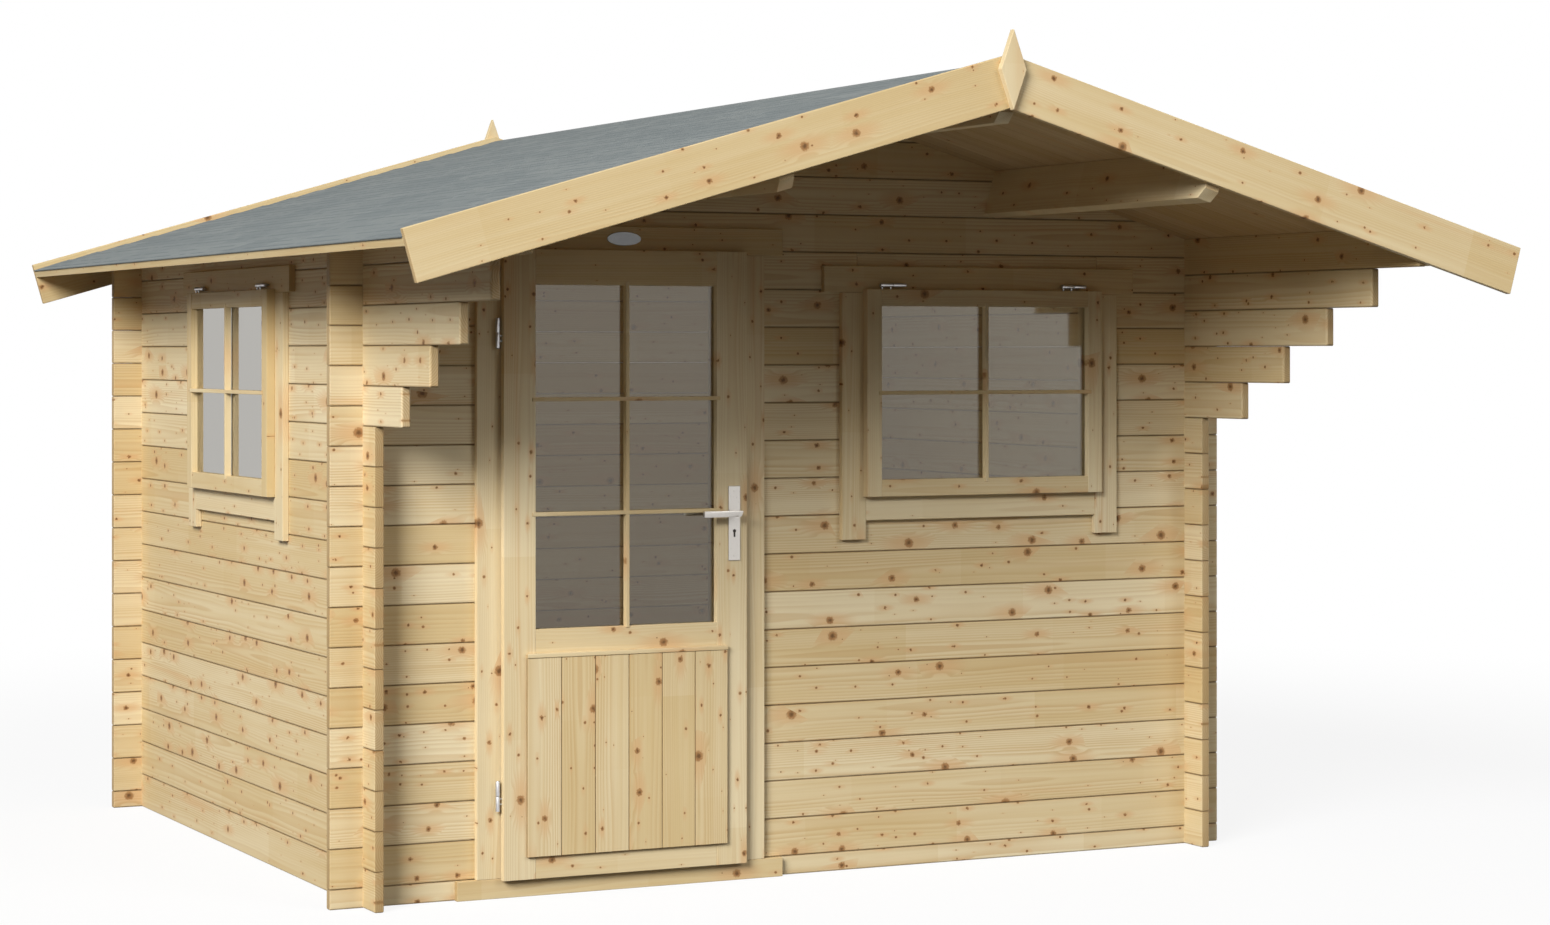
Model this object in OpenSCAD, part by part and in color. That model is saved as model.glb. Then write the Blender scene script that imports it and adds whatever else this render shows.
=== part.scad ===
// Log cabin with a deep front canopy: notched and grooved logs, a ridged roof,
// a glazed front door and two top-hung windows. Millimetres, +Z up, front faces -Y.

/* [Logs and walls] */
// Height of one log course
log_h = 113.5; // [100:0.5:140]
// Thickness of the logs
log_t = 28; // [24:1:50]
// Width of the bevel along each log edge
log_bevel = 4.5; // [2:0.5:7]
// Width over the outer faces of the side walls
wall_w = 2800; // [2700:10:4200]
// Depth over the outer faces of the front and rear walls
wall_d = 2300; // [1700:10:4200]
// Number of log courses in a side wall
courses = 17; // [17:1:19]
// Length of the log ends past a corner
corner_end = 98; // [60:1:160]
// Number of stepped courses that carry the canopy
corbel_courses = 5; // [2:1:6]
// Distance that each stepped course reaches past the one below
corbel_step = 218; // [120:1:240]

/* [Roof] */
// Slope of the roof in degrees
roof_pitch = 16; // [10:1:30]
// Overhang of the roof past the rear wall
rear_overhang = 186; // [100:1:400]
// Overhang of the roof past a side wall, level
eave_overhang = 326; // [120:1:450]
// Thickness of the roof boards
board_t = 18; // [15:1:28]
// Thickness of the roof covering
cover_t = 4; // [2:0.5:10]
// Width of a purlin
purlin_w = 45; // [35:1:80]
// Height of a purlin
purlin_h = 140; // [100:1:200]
// Distance of a side purlin from the ridge, level
purlin_off = 692; // [400:1:1000]
// Slanted cut on the lower front edge of a purlin
purlin_cut = 28; // [10:1:60]
// Height of the lath along each eave
eave_lath_h = 22; // [18:1:50]
// Thickness of the lath along each eave
eave_lath_t = 15; // [10:1:25]
// Width of a bargeboard
barge_h = 140; // [100:1:200]
// Thickness of a bargeboard
barge_t = 20; // [15:1:28]
// Height of a bargeboard above the underside of the roof boards
barge_rise = 41; // [30:1:70]
// Height of a gable finial
finial_h = 217; // [150:1:300]
// Width of a gable finial
finial_w = 79; // [50:1:120]
// Thickness of a gable finial
finial_t = 20; // [12:1:28]

/* [Door] */
// Middle of the door, measured from the outer face of the left wall
door_x = 799; // [700:1:900]
// Width of the door leaf
door_w = 778; // [650:1:800]
// Gap between the leaf's lower edge and the top of the sill log, negative where it laps
door_foot = -4; // [-5:1:0]
// Width of a stile of the leaf
door_stile = 99.5; // [80:0.5:130]
// Height of the top rail of the leaf
door_top_rail = 103; // [80:1:140]
// Height of the glass opening in the leaf
door_glass_h = 994; // [800:1:1100]
// Height of the rail below the glass
door_mid_rail = 100; // [70:1:140]
// Height of the bottom rail of the leaf
door_bottom_rail = 96; // [80:1:160]
// Thickness of the boarded lower panel
panel_t = 12; // [8:1:20]
// Lap of the boarded panel over the rails and stiles around it
panel_lap = 31; // [15:1:45]

/* [Windows] */
// Width of a window sash
sash_w = 837; // [600:1:900]
// Height of a window sash
sash_h = 630; // [400:1:680]
// Height of the lower edge of a sash above the ground
sash_z = 1132; // [1050:1:1160]
// Middle of the front window, measured from the outer face of the left wall
window_x = 2013; // [1990:1:2030]
// Width of a sash stile
sash_stile = 51; // [35:1:60]
// Height of a sash rail
sash_rail = 51; // [40:1:70]
// Length of the window trim below its sill board
trim_leg = 58; // [20:1:90]

/* [Joinery] */
// Visible width of the trim boards around the door and windows
trim_w = 72; // [60:1:100]
// Thickness of the trim boards
trim_t = 20; // [15:1:26]
// Visible height of a head board
head_h = 70; // [50:1:100]
// Distance that a head board reaches past the side boards
trim_horn = 61; // [20:1:80]
// Distance that a leaf or sash stands in front of its trim
leaf_proud = 27; // [20:1:35]
// Lap of a leaf or sash over its trim
lap = 10; // [6:1:15]
// Distance that a leaf or sash reaches behind the outer wall face
leaf_depth = 15; // [8:1:22]
// Thickness of the boards that line a wall opening
lining_t = 20; // [15:1:25]
// Distance that a lining stands proud of the wall inside
lining_proud = 12; // [0:1:20]
// Thickness of the glass
glass_t = 4; // [3:0.5:6]
// Depth of the glass behind the front of its leaf or sash
glass_set = 20; // [12:1:22]
// Distance that the glass reaches into its groove
glass_bite = 8; // [5:1:12]

/* [Hardware] */
// Diameter of a hinge barrel
hinge_d = 13; // [10:0.5:16]
// Length of a hinge barrel
hinge_l = 87; // [70:1:110]
// Diameter of the screw-in pins of a hinge
hinge_pin_d = 5; // [4:0.5:6]
// Distance from the middle of a hinge to the end of the leaf or sash on the door
hinge_inset = 243; // [150:1:300]
// Distance from the middle of a window hinge to the side of the sash
window_hinge_inset = 96; // [70:1:200]
// Height of the lever above the ground
lever_z = 1093; // [950:1:1150]
// Length of the lever from its axis
lever_l = 118; // [90:1:130]
// Height of the handle plate
plate_h = 221; // [180:1:260]
// Width of the handle plate
plate_w = 38; // [30:1:45]
// Thickness of the handle plate
plate_t = 5; // [3:0.5:8]
// Diameter of the lever spindle
spindle_d = 9; // [7:0.5:12]
// Width of the blank oval plaque over the door
plaque_w = 108; // [60:1:120]
// Height of the blank oval plaque
plaque_h = 40; // [24:1:60]

/* [Floor] */
// Width of the floor joists
joist_w = 60; // [40:1:80]
// Number of floor joists
joists = 5; // [3:1:8]
// Thickness of the floor boards
floor_t = 18; // [15:1:28]

/* [Clearances] */
// Gap between fixed pieces that bear on each other
fit = 0.3; // [0.2:0.05:0.6]
// Clearance around a moving leaf
swing_gap = 5; // [4:0.5:8]
// Running clearance around a pin or spindle, each side
pin_gap = 0.3; // [0.2:0.05:0.6]

/* [Hidden] */

spruce = "burlywood";
pale_spruce = "wheat";
steel = "silver";

// Walls: x is measured from the ridge line, y from the middle of the whole length.
wall_x = wall_w / 2;
front_overhang = corner_end + corbel_courses * corbel_step;
gable_t = barge_t + finial_t;
overall_d = front_overhang + wall_d + rear_overhang + 2 * gable_t;
front_y = -overall_d / 2 + gable_t + front_overhang;
rear_y = front_y + wall_d;
roof_front_y = front_y - front_overhang;
roof_rear_y = rear_y + rear_overhang;
first_corbel = courses - corbel_courses;
half_log = log_h / 2;
notch_h = log_h / 2;
wall_top = courses * log_h;
gable_z = half_log + (courses - 1) * log_h;

// Roof planes: the underside meets the outer edge of the top side log a little below its top.
top_log_bevel = 4.5;
eave_z = wall_top - top_log_bevel;
ridge_z = eave_z + wall_x * tan(roof_pitch);
slope_l = (wall_x + eave_overhang) / cos(roof_pitch)
    - barge_rise * tan(roof_pitch);
gable_courses = ceil((ridge_z - gable_z) / log_h);
finial_z = ridge_z - finial_h / 2;

// Front joinery, with its middle and edges in the shared frame
door_mid = door_x - wall_x;
door_l = door_mid - door_w / 2;
door_r = door_mid + door_w / 2;
door_z = half_log + door_foot;
door_h = gable_z - door_z + door_foot;
door_top = door_z + door_h;
sill_t = 10;
leaf_back = trim_t + swing_gap;
body_in = lap + swing_gap + 1;
latch_in = body_in + 3;
body_foot = half_log + fit + sill_t + swing_gap;
joist_h = half_log - floor_t - fit;
glass_top = door_top - door_top_rail;
glass_z = glass_top - door_glass_h;
panel_top = glass_z - door_mid_rail + panel_lap;
panel_z = door_z + door_bottom_rail - panel_lap;
cap_h = 10;
cap_proud = 3;
window_mid = window_x - wall_x;
side_window_y = (front_y + rear_y) / 2;
leaf_front = trim_t + leaf_proud;

// Hinges: the barrel stands beside the leaf, in front of the trim.
hinge_side = hinge_d / 2 + 6.5;
hinge_y = trim_t + 13;
core_d = 6.5;
hinge_split = 0.5;
pin_depth = 14;
upper_hinge_z = door_top - hinge_inset;
lower_hinge_z = door_z + hinge_inset;

// Handle
plate_in = 44;
lever_x = door_r - plate_in;
lever_reach = 42;
lever_t = 12;
lever_h = 19;
neck_d = 18;
collar_t = 8;
plate_drop = 29;
key_d = 11;

function corbel(k) = k < first_corbel ? corner_end
    : corner_end + (k - first_corbel + 1) * corbel_step;

// ---- logs -------------------------------------------------------------------

// Cross section of a log: x is its thickness, y its height.
module log_section(h) {
    b = log_bevel;
    polygon([[b, 0], [log_t - b, 0], [log_t, b], [log_t, h - b], [log_t - b, h], [b, h],
        [0, h - b], [0, b]]);
}

// A log along X from x0 to x1, its front face at y.
module log_x(x0, x1, y, z, h) {
    translate([x0, y + log_t, z]) rotate([90, 0, 90]) mirror([1, 0, 0])
        linear_extrude(x1 - x0) log_section(h);
}

// A log along Y from y0 to y1, its left face at x.
module log_y(y0, y1, x, z, h) {
    translate([x, y1, z]) rotate([90, 0, 0]) linear_extrude(y1 - y0) log_section(h);
}

// The halvings that let the side logs pass through a front or rear wall at y.
module side_log_halvings(y) {
    for (side = [-1, 1], k = [0:courses - 1])
        translate([side * (wall_x - log_t / 2) - log_t / 2 - fit, y - 1,
                k * log_h + notch_h / 2 - fit])
            cube([log_t + 2 * fit, log_t + 2, notch_h + 2 * fit]);
}

// The halvings that let the front and rear logs pass through a side wall at x.
module cross_log_halvings(x) {
    for (y = [front_y, rear_y - log_t], k = [0:courses])
        translate([x - 1, y - fit, k * log_h - notch_h / 2 - fit])
            cube([log_t + 2, log_t + 2 * fit, notch_h + (k == courses ? log_h : 0) + 2 * fit]);
}

// Everything below the underside of the roof boards.
module under_roof(drop) {
    reach = wall_x + eave_overhang + 200;
    translate([0, roof_rear_y + 100, 0]) rotate([90, 0, 0])
        linear_extrude(roof_rear_y - roof_front_y + 200)
            polygon([[-reach, -1], [reach, -1], [reach, ridge_z - drop - reach * tan(roof_pitch)],
                [0, ridge_z - drop], [-reach, ridge_z - drop - reach * tan(roof_pitch)]]);
}

// A side wall with its left face at x; the stepped courses carry the canopy.
module side_wall(x) {
    intersection() {
        difference() {
            for (k = [0:courses - 1])
                log_y(front_y - corbel(k), rear_y + corner_end, x, k * log_h,
                    k == courses - 1 ? log_h + log_bevel : log_h);
            cross_log_halvings(x);
        }
        under_roof(fit);
    }
}

module left_wall() {
    color(spruce) difference() {
        side_wall(-wall_x);
        left_window_place() window_opening();
    }
}

module right_wall() {
    color(spruce) side_wall(wall_x - log_t);
}

// Full front or rear courses between x0 and x1, from the top of the sill log to the gable.
module cross_courses(x0, x1, y) {
    for (k = [0:courses - 2])
        log_x(x0, x1, y, half_log + k * log_h + (k == 0 ? fit : 0),
            log_h - (k == 0 ? fit : 0));
}

module rear_wall() {
    color(spruce) difference() {
        union() {
            half_log_x(rear_y - log_t, half_log + fit);
            cross_courses(-wall_x - corner_end, wall_x + corner_end, rear_y - log_t);
        }
        side_log_halvings(rear_y - log_t);
    }
}

// The half log under a front or rear wall.
module half_log_x(y, h) {
    log_x(-wall_x - corner_end, wall_x + corner_end, y, 0, h);
}

module front_sill_log() {
    color(spruce) difference() {
        half_log_x(front_y, half_log);
        side_log_halvings(front_y);
    }
}

module front_wall_left() {
    color(spruce) difference() {
        cross_courses(-wall_x - corner_end, door_l + lap - lining_t - fit, front_y);
        side_log_halvings(front_y);
    }
}

module front_wall_right() {
    color(spruce) difference() {
        cross_courses(door_r - lap + lining_t + fit, wall_x + corner_end, front_y);
        side_log_halvings(front_y);
        front_window_place() window_opening();
    }
}

// The gable logs, cut to the roof and let out for the purlins.
module gable(y) {
    difference() {
        intersection() {
            for (k = [0:gable_courses - 1])
                log_x(-wall_x - corner_end, wall_x + corner_end, y,
                    gable_z + k * log_h + (k == 0 ? fit : 0), log_h - (k == 0 ? fit : 0));
            under_roof(fit);
        }
        side_log_halvings(y);
        purlin_holes();
    }
}

module front_gable() {
    color(spruce) gable(front_y);
}

module rear_gable() {
    color(spruce) gable(rear_y - log_t);
}

// ---- roof -------------------------------------------------------------------

// Puts children on a slope: x runs down it from the ridge, z stands square to it.
module on_slope(side) {
    mirror([side < 0 ? 1 : 0, 0, 0]) translate([0, 0, ridge_z]) rotate([0, roof_pitch, 0])
        children();
}

// Keeps one side of the ridge, with a hairline at the mitre.
module one_side(side) {
    big = wall_w;
    intersection() {
        children();
        translate([side < 0 ? -big : fit / 2, roof_front_y - 200, 0])
            cube([big - (side < 0 ? fit / 2 : 0), roof_rear_y - roof_front_y + 400,
                ridge_z + 200]);
    }
}

// A slab on one slope between x0 and x1 down the slope, y0 and y1, z0 and z1.
module slope_slab(side, x0, x1, y0, y1, z0, z1) {
    one_side(side) on_slope(side) translate([x0, y0, z0]) cube([x1 - x0, y1 - y0, z1 - z0]);
}

module roof_boards(side) {
    color(pale_spruce)
        slope_slab(side, -board_t, slope_l - eave_lath_t - fit, roof_front_y, roof_rear_y, 0,
            board_t);
}

module roof_boards_left() {
    roof_boards(-1);
}

module roof_boards_right() {
    roof_boards(1);
}

module roof_cover(side) {
    color("darkslategray")
        slope_slab(side, -board_t - cover_t, slope_l + cover_t, roof_front_y, roof_rear_y,
            board_t + fit, board_t + fit + cover_t);
}

module roof_cover_left() {
    roof_cover(-1);
}

module roof_cover_right() {
    roof_cover(1);
}

module eave_lath(side) {
    color(spruce)
        slope_slab(side, slope_l - eave_lath_t, slope_l, roof_front_y, roof_rear_y,
            board_t - eave_lath_h, board_t);
}

module eave_lath_left() {
    eave_lath(-1);
}

module eave_lath_right() {
    eave_lath(1);
}

// A pair of bargeboards between y0 and y1, mitred at the ridge.
module bargeboards(y0, y1) {
    color(pale_spruce)
        for (side = [-1, 1])
            slope_slab(side, -barge_h, slope_l, y0, y1, barge_rise - barge_h, barge_rise);
}

module front_bargeboards() {
    bargeboards(roof_front_y - barge_t, roof_front_y - fit);
}

module rear_bargeboards() {
    bargeboards(roof_rear_y + fit, roof_rear_y + barge_t);
}

// A diamond board over the apex, from y0 to y1.
module finial(y0, y1) {
    color(pale_spruce) translate([0, y1, finial_z + finial_h / 2]) rotate([90, 0, 0])
        linear_extrude(y1 - y0)
            polygon([[0, -finial_h / 2], [finial_w / 2, 0], [0, finial_h / 2],
                [-finial_w / 2, 0]]);
}

module front_finial() {
    finial(roof_front_y - barge_t - finial_t, roof_front_y - barge_t - fit);
}

module rear_finial() {
    finial(roof_rear_y + barge_t + fit, roof_rear_y + barge_t + finial_t);
}

// A purlin as a plank on edge, its top at z = 0, with the slanted cut at its front end.
module purlin_blank(grow) {
    y0 = roof_front_y + fit;
    y1 = roof_rear_y - fit;
    translate([-purlin_w / 2 - grow, 0, 0]) rotate([90, 0, 90])
        linear_extrude(purlin_w + 2 * grow)
            polygon([[y0, 0], [y0, purlin_cut - purlin_h], [y0 + purlin_cut, -purlin_h - grow],
                [y1, -purlin_h - grow], [y1, 0]]);
}

module side_purlin(side, grow) {
    on_slope(side) translate([purlin_off / cos(roof_pitch), 0, -fit]) purlin_blank(grow);
}

module ridge_blank(grow) {
    intersection() {
        translate([0, 0, ridge_z]) purlin_blank(grow);
        under_roof(fit);
    }
}

module purlin_holes() {
    for (side = [-1, 1])
        side_purlin(side, fit);
    translate([0, 0, ridge_z]) purlin_blank(fit);
}

module ridge_purlin() {
    color(pale_spruce) ridge_blank(0);
}

module left_purlin() {
    color(pale_spruce) side_purlin(-1, 0);
}

module right_purlin() {
    color(pale_spruce) side_purlin(1, 0);
}

// ---- floor ------------------------------------------------------------------

module floor_joists() {
    inner = wall_d - 2 * log_t - 2 * fit;
    span = wall_w - 2 * log_t - joist_w - 2 * fit;
    color(spruce)
        for (i = [0:joists - 1])
            translate([-span / 2 + i * span / (joists - 1) - joist_w / 2,
                    front_y + log_t + fit, 0])
                cube([joist_w, inner, joist_h]);
}

module floor_boards() {
    color(pale_spruce)
        translate([-wall_x + log_t + fit, front_y + log_t + fit, joist_h + fit])
            cube([wall_w - 2 * log_t - 2 * fit, wall_d - 2 * log_t - 2 * fit, floor_t]);
}

// ---- joinery shared by the door and the windows -----------------------------
// A place puts the outer wall face at y = 0 and the middle of the opening at x = 0.

module box(x0, x1, y0, y1, z0, z1) {
    translate([x0, y0, z0]) cube([x1 - x0, y1 - y0, z1 - z0]);
}

// A rectangular ring in a wall: outer edges less the inner edges, from y0 to y1.
module ring(x0, x1, z0, z1, left, right, bottom, top, y0, y1) {
    difference() {
        box(x0, x1, y0, y1, z0, z1);
        box(x0 + left, x1 - right, y0 - 1, y1 + 1, z0 + bottom, z1 - top);
    }
}

// The groove that holds a pane x0..x1, z0..z1.
module pane(x0, x1, z0, z1, grow) {
    box(x0 - glass_bite - grow, x1 + glass_bite + grow,
        glass_set - leaf_front - grow, glass_set - leaf_front + glass_t + grow,
        z0 - glass_bite - grow, z1 + glass_bite + grow);
}

module front_window_place() {
    translate([window_mid, front_y, 0]) children();
}

module left_window_place() {
    translate([-wall_x, side_window_y, 0]) rotate([0, 0, -90]) children();
}

// The hole through the logs for a window and its lining.
module window_opening() {
    out = sash_w / 2 - lap + lining_t + fit;
    box(-out, out, -1, log_t + 1, sash_z + lap - lining_t - fit,
        sash_z + sash_h - lap + lining_t + fit);
}

module window_frame() {
    out = sash_w / 2 - lap + lining_t;
    color(pale_spruce)
        ring(-out, out, sash_z + lap - lining_t, sash_z + sash_h - lap + lining_t,
            lining_t, lining_t, lining_t, lining_t, 0, log_t + lining_proud);
}

// Head board over two side boards that run down past the sill board between them.
module window_trim() {
    in = sash_w / 2 - lap;
    out = sash_w / 2 + trim_w;
    head_z = sash_z + sash_h - lap;
    sill_z = sash_z - trim_w;
    color(pale_spruce) {
        box(-out - trim_horn, out + trim_horn, -trim_t, -fit, head_z, head_z + head_h + lap);
        for (side = [-1, 1])
            mirror([side < 0 ? 1 : 0, 0, 0])
                box(in, out, -trim_t, -fit, sill_z - trim_leg, head_z - fit);
        box(-in + fit, in - fit, -trim_t, -fit, sill_z, sash_z + lap);
    }
}

module window_sash() {
    x = sash_w / 2;
    top = sash_z + sash_h;
    in = lap + 2;
    color(spruce) difference() {
        union() {
            ring(-x, x, sash_z, top, sash_stile, sash_stile, sash_rail, sash_rail,
                -leaf_front, -trim_t - fit);
            ring(-x + in, x - in, sash_z + in, top - in, sash_stile - in, sash_stile - in,
                sash_rail - in, sash_rail - in, -trim_t - fit, leaf_depth);
        }
        pane(-x + sash_stile, x - sash_stile, sash_z + sash_rail, top - sash_rail, fit);
        window_hinge_places() hinge_pin_pair(-pin_depth, pin_gap);
    }
}

module window_glass() {
    x = sash_w / 2 - sash_stile;
    color("lightblue") pane(-x, x, sash_z + sash_rail, sash_z + sash_h - sash_rail, 0);
}

// Puts children on each window hinge: x along the barrel away from the middle, z up.
module window_hinge_places() {
    for (side = [-1, 1])
        mirror([side < 0 ? 1 : 0, 0, 0])
            translate([sash_w / 2 - window_hinge_inset - hinge_l / 2, -hinge_y,
                    sash_z + sash_h + hinge_side])
                children();
}

// The two pins of the half barrel next to x = 0, running to z = depth.
module hinge_pin_pair(depth, grow) {
    for (x = [hinge_pin_d, hinge_l / 2 - hinge_pin_d * 1.5])
        translate([x, 0, depth - hinge_side - grow])
            cylinder(h = hinge_side - depth + grow, d = hinge_pin_d + 2 * grow, $fn = 32);
}

// Two barrels over the sash, pinned down into it and back into the head board.
module window_hinges() {
    color(steel) window_hinge_places() {
        rotate([0, 90, 0]) cylinder(h = hinge_l, d = hinge_d, $fn = 48);
        hinge_pin_pair(-pin_depth + 1, 0);
        for (x = [hinge_l / 2 + hinge_pin_d * 1.5, hinge_l - hinge_pin_d])
            translate([x, 0, 0]) rotate([-90, 0, 0])
                cylinder(h = hinge_y - trim_t - fit, d = hinge_pin_d, $fn = 32);
    }
}

module front_window_frame() {
    front_window_place() window_frame();
}

module front_window_trim() {
    front_window_place() window_trim();
}

module front_window_sash() {
    front_window_place() window_sash();
}

module front_window_glass() {
    front_window_place() window_glass();
}

module front_window_hinges() {
    front_window_place() window_hinges();
}

module left_window_frame() {
    left_window_place() window_frame();
}

module left_window_trim() {
    left_window_place() window_trim();
}

module left_window_sash() {
    left_window_place() window_sash();
}

module left_window_glass() {
    left_window_place() window_glass();
}

module left_window_hinges() {
    left_window_place() window_hinges();
}

// ---- door -------------------------------------------------------------------

// The lining of the doorway, between the logs, the sill log and the gable.
module door_frame() {
    color(pale_spruce)
        ring(door_l + lap - lining_t, door_r - lap + lining_t, half_log + fit, gable_z - fit,
            lining_t, lining_t, sill_t, gable_z - fit - door_top + lap, front_y,
            front_y + log_t + lining_proud);
}

module door_side_trims() {
    color(pale_spruce) difference() {
        for (side = [-1, 1])
            translate([door_mid, front_y, 0]) mirror([side < 0 ? 1 : 0, 0, 0])
                box(door_w / 2 - lap, door_w / 2 + trim_w, -trim_t, -fit, half_log + fit,
                    door_top - lap - fit);
        door_hinge_places() socket_pins(hinge_y - trim_t + pin_depth + 1, pin_gap);
    }
}

module door_head_trim() {
    out = door_w / 2 + trim_w + trim_horn;
    color(pale_spruce) translate([door_mid, front_y, 0])
        box(-out, out, -trim_t, -fit, door_top - lap, door_top + head_h);
}

module door_threshold() {
    out = door_w / 2 + trim_w + trim_horn;
    color(pale_spruce) translate([door_mid, front_y, 0])
        box(-out, out, -trim_t, -fit, 0, half_log);
}

// A blank oval on the head board.
module door_plaque() {
    color("white")
        translate([door_mid, front_y - trim_t - fit, door_top + head_h / 2 - 1])
            rotate([90, 0, 0]) linear_extrude(3)
                polygon([for (a = [0:7.5:352.5]) [plaque_w / 2 * cos(a), plaque_h / 2 * sin(a)]]);
}

// Puts children on each door hinge axis, z = 0 at the middle of the barrel.
module door_hinge_places() {
    for (z = [lower_hinge_z, upper_hinge_z])
        translate([door_l - hinge_side, front_y - hinge_y, z]) children();
}

// The pins that hold the upper half barrel in the trim.
module socket_pins(depth, grow) {
    for (z = [hinge_pin_d * 1.5, hinge_l / 2 - hinge_pin_d])
        translate([0, 0, z]) rotate([-90, 0, 0])
            cylinder(h = depth, d = hinge_pin_d + 2 * grow, $fn = 32);
}

// The pins that hold the lower half barrel in the edge of the leaf.
module leaf_pins(depth, grow) {
    for (z = [-hinge_l / 2 + hinge_pin_d * 1.6, -hinge_pin_d / 2 - 1])
        translate([0, 0, z]) rotate([0, 90, 0])
            cylinder(h = depth, d = hinge_pin_d + 2 * grow, $fn = 32);
}

module door_hinge_sockets() {
    color(steel) door_hinge_places() difference() {
        union() {
            translate([0, 0, hinge_split]) cylinder(h = hinge_l / 2 - hinge_split, d = hinge_d,
                $fn = 48);
            socket_pins(hinge_y - trim_t + pin_depth, 0);
        }
        cylinder(h = hinge_l / 2 - 4, d = core_d + 2 * pin_gap, $fn = 48);
    }
}

module door_hinge_pins() {
    color(steel) door_hinge_places() {
        translate([0, 0, -hinge_l / 2]) cylinder(h = hinge_l / 2, d = hinge_d, $fn = 48);
        cylinder(h = hinge_l / 2 - 6, d = core_d, $fn = 48);
        leaf_pins(hinge_side + pin_depth, 0);
    }
}

// Stiles and rails: a lip that laps the trims and a narrower body in the doorway.
module door_leaf() {
    open_l = door_l + door_stile;
    open_r = door_r - door_stile;
    color(spruce) difference() {
        union() {
            box(door_l, door_r, front_y - leaf_front, front_y - leaf_back, door_z, door_top);
            box(door_l + body_in, door_r - latch_in, front_y - leaf_back, front_y + leaf_depth,
                body_foot, door_top - body_in);
        }
        box(open_l, open_r, front_y - 100, front_y + 100, glass_z, glass_top);
        box(open_l, open_r, front_y - 100, front_y + 100, door_z + door_bottom_rail,
            glass_z - door_mid_rail);
        translate([0, front_y, 0]) pane(open_l, open_r, glass_z, glass_top, fit);
        door_hinge_places() leaf_pins(hinge_side + pin_depth + 1, pin_gap);
        translate([lever_x, front_y - 100, lever_z]) rotate([-90, 0, 0])
            cylinder(h = 200, d = spindle_d + 2 * pin_gap, $fn = 48);
    }
}

module door_glass() {
    color("lightblue") translate([0, front_y, 0])
        pane(door_l + door_stile, door_r - door_stile, glass_z, glass_top, 0);
}

// The boarded lower panel with a cap strip along its top.
module door_panel() {
    x0 = door_l + door_stile - panel_lap;
    x1 = door_r - door_stile + panel_lap;
    y = front_y - leaf_front;
    color(pale_spruce) {
        box(x0, x1, y - panel_t, y - fit, panel_z, panel_top - cap_h);
        box(x0, x1, y - panel_t - cap_proud, y - fit, panel_top - cap_h, panel_top);
    }
}

// The handle plates, one on each face of the leaf, with holes for spindle and key.
module door_handle_plates() {
    color(steel)
        for (y = [front_y - leaf_front - plate_t - fit, front_y + leaf_depth + fit])
            difference() {
                box(lever_x - plate_w / 2, lever_x + plate_w / 2, y, y + plate_t,
                    lever_z - plate_h / 2 - plate_drop, lever_z + plate_h / 2 - plate_drop);
                translate([lever_x, y - 1, lever_z]) rotate([-90, 0, 0])
                    cylinder(h = plate_t + 2, d = spindle_d + 2 * pin_gap, $fn = 48);
                translate([lever_x, y - 1, lever_z - 2 * plate_drop]) rotate([-90, 0, 0])
                    cylinder(h = plate_t + 2, d = key_d, $fn = 32);
            }
}

// One lever outwards from y = 0, its neck on the axis and its arm towards the hinges.
module lever_half() {
    translate([0, 0, 0]) rotate([90, 0, 0]) cylinder(h = lever_reach, d = neck_d, $fn = 48);
    box(-lever_l + lever_h / 2, 0, -lever_reach, -lever_reach + lever_t, -lever_h / 2,
        lever_h / 2);
    translate([-lever_l + lever_h / 2, -lever_reach + lever_t, 0]) rotate([90, 0, 0])
        cylinder(h = lever_t, d = lever_h, $fn = 48);
}

// Both levers on one spindle.
module door_lever() {
    outer = front_y - leaf_front - plate_t - 2 * fit;
    inner = front_y + leaf_depth + plate_t + 2 * fit;
    color(steel) {
        translate([lever_x, outer, lever_z]) lever_half();
        translate([lever_x, inner, lever_z]) mirror([0, 1, 0]) lever_half();
        translate([lever_x, outer - 1, lever_z]) rotate([-90, 0, 0])
            cylinder(h = inner - outer + 2, d = spindle_d, $fn = 48);
    }
}

left_wall();
right_wall();
rear_wall();
rear_gable();
front_sill_log();
front_wall_left();
front_wall_right();
front_gable();
ridge_purlin();
left_purlin();
right_purlin();
roof_boards_left();
roof_boards_right();
roof_cover_left();
roof_cover_right();
eave_lath_left();
eave_lath_right();
front_bargeboards();
rear_bargeboards();
front_finial();
rear_finial();
floor_joists();
floor_boards();
door_frame();
door_side_trims();
door_head_trim();
door_threshold();
door_plaque();
door_leaf();
door_glass();
door_panel();
door_hinge_sockets();
door_hinge_pins();
door_handle_plates();
door_lever();
front_window_frame();
front_window_trim();
front_window_sash();
front_window_glass();
front_window_hinges();
left_window_frame();
left_window_trim();
left_window_sash();
left_window_glass();
left_window_hinges();
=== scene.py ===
"""A notched log cabin with a stepped canopy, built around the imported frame."""

import logging
import math
import random
from dataclasses import dataclass, field
from enum import Enum
from typing import Any, ClassVar, Iterable, Union

import bmesh
import bpy
from mathutils import Matrix, Vector


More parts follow.
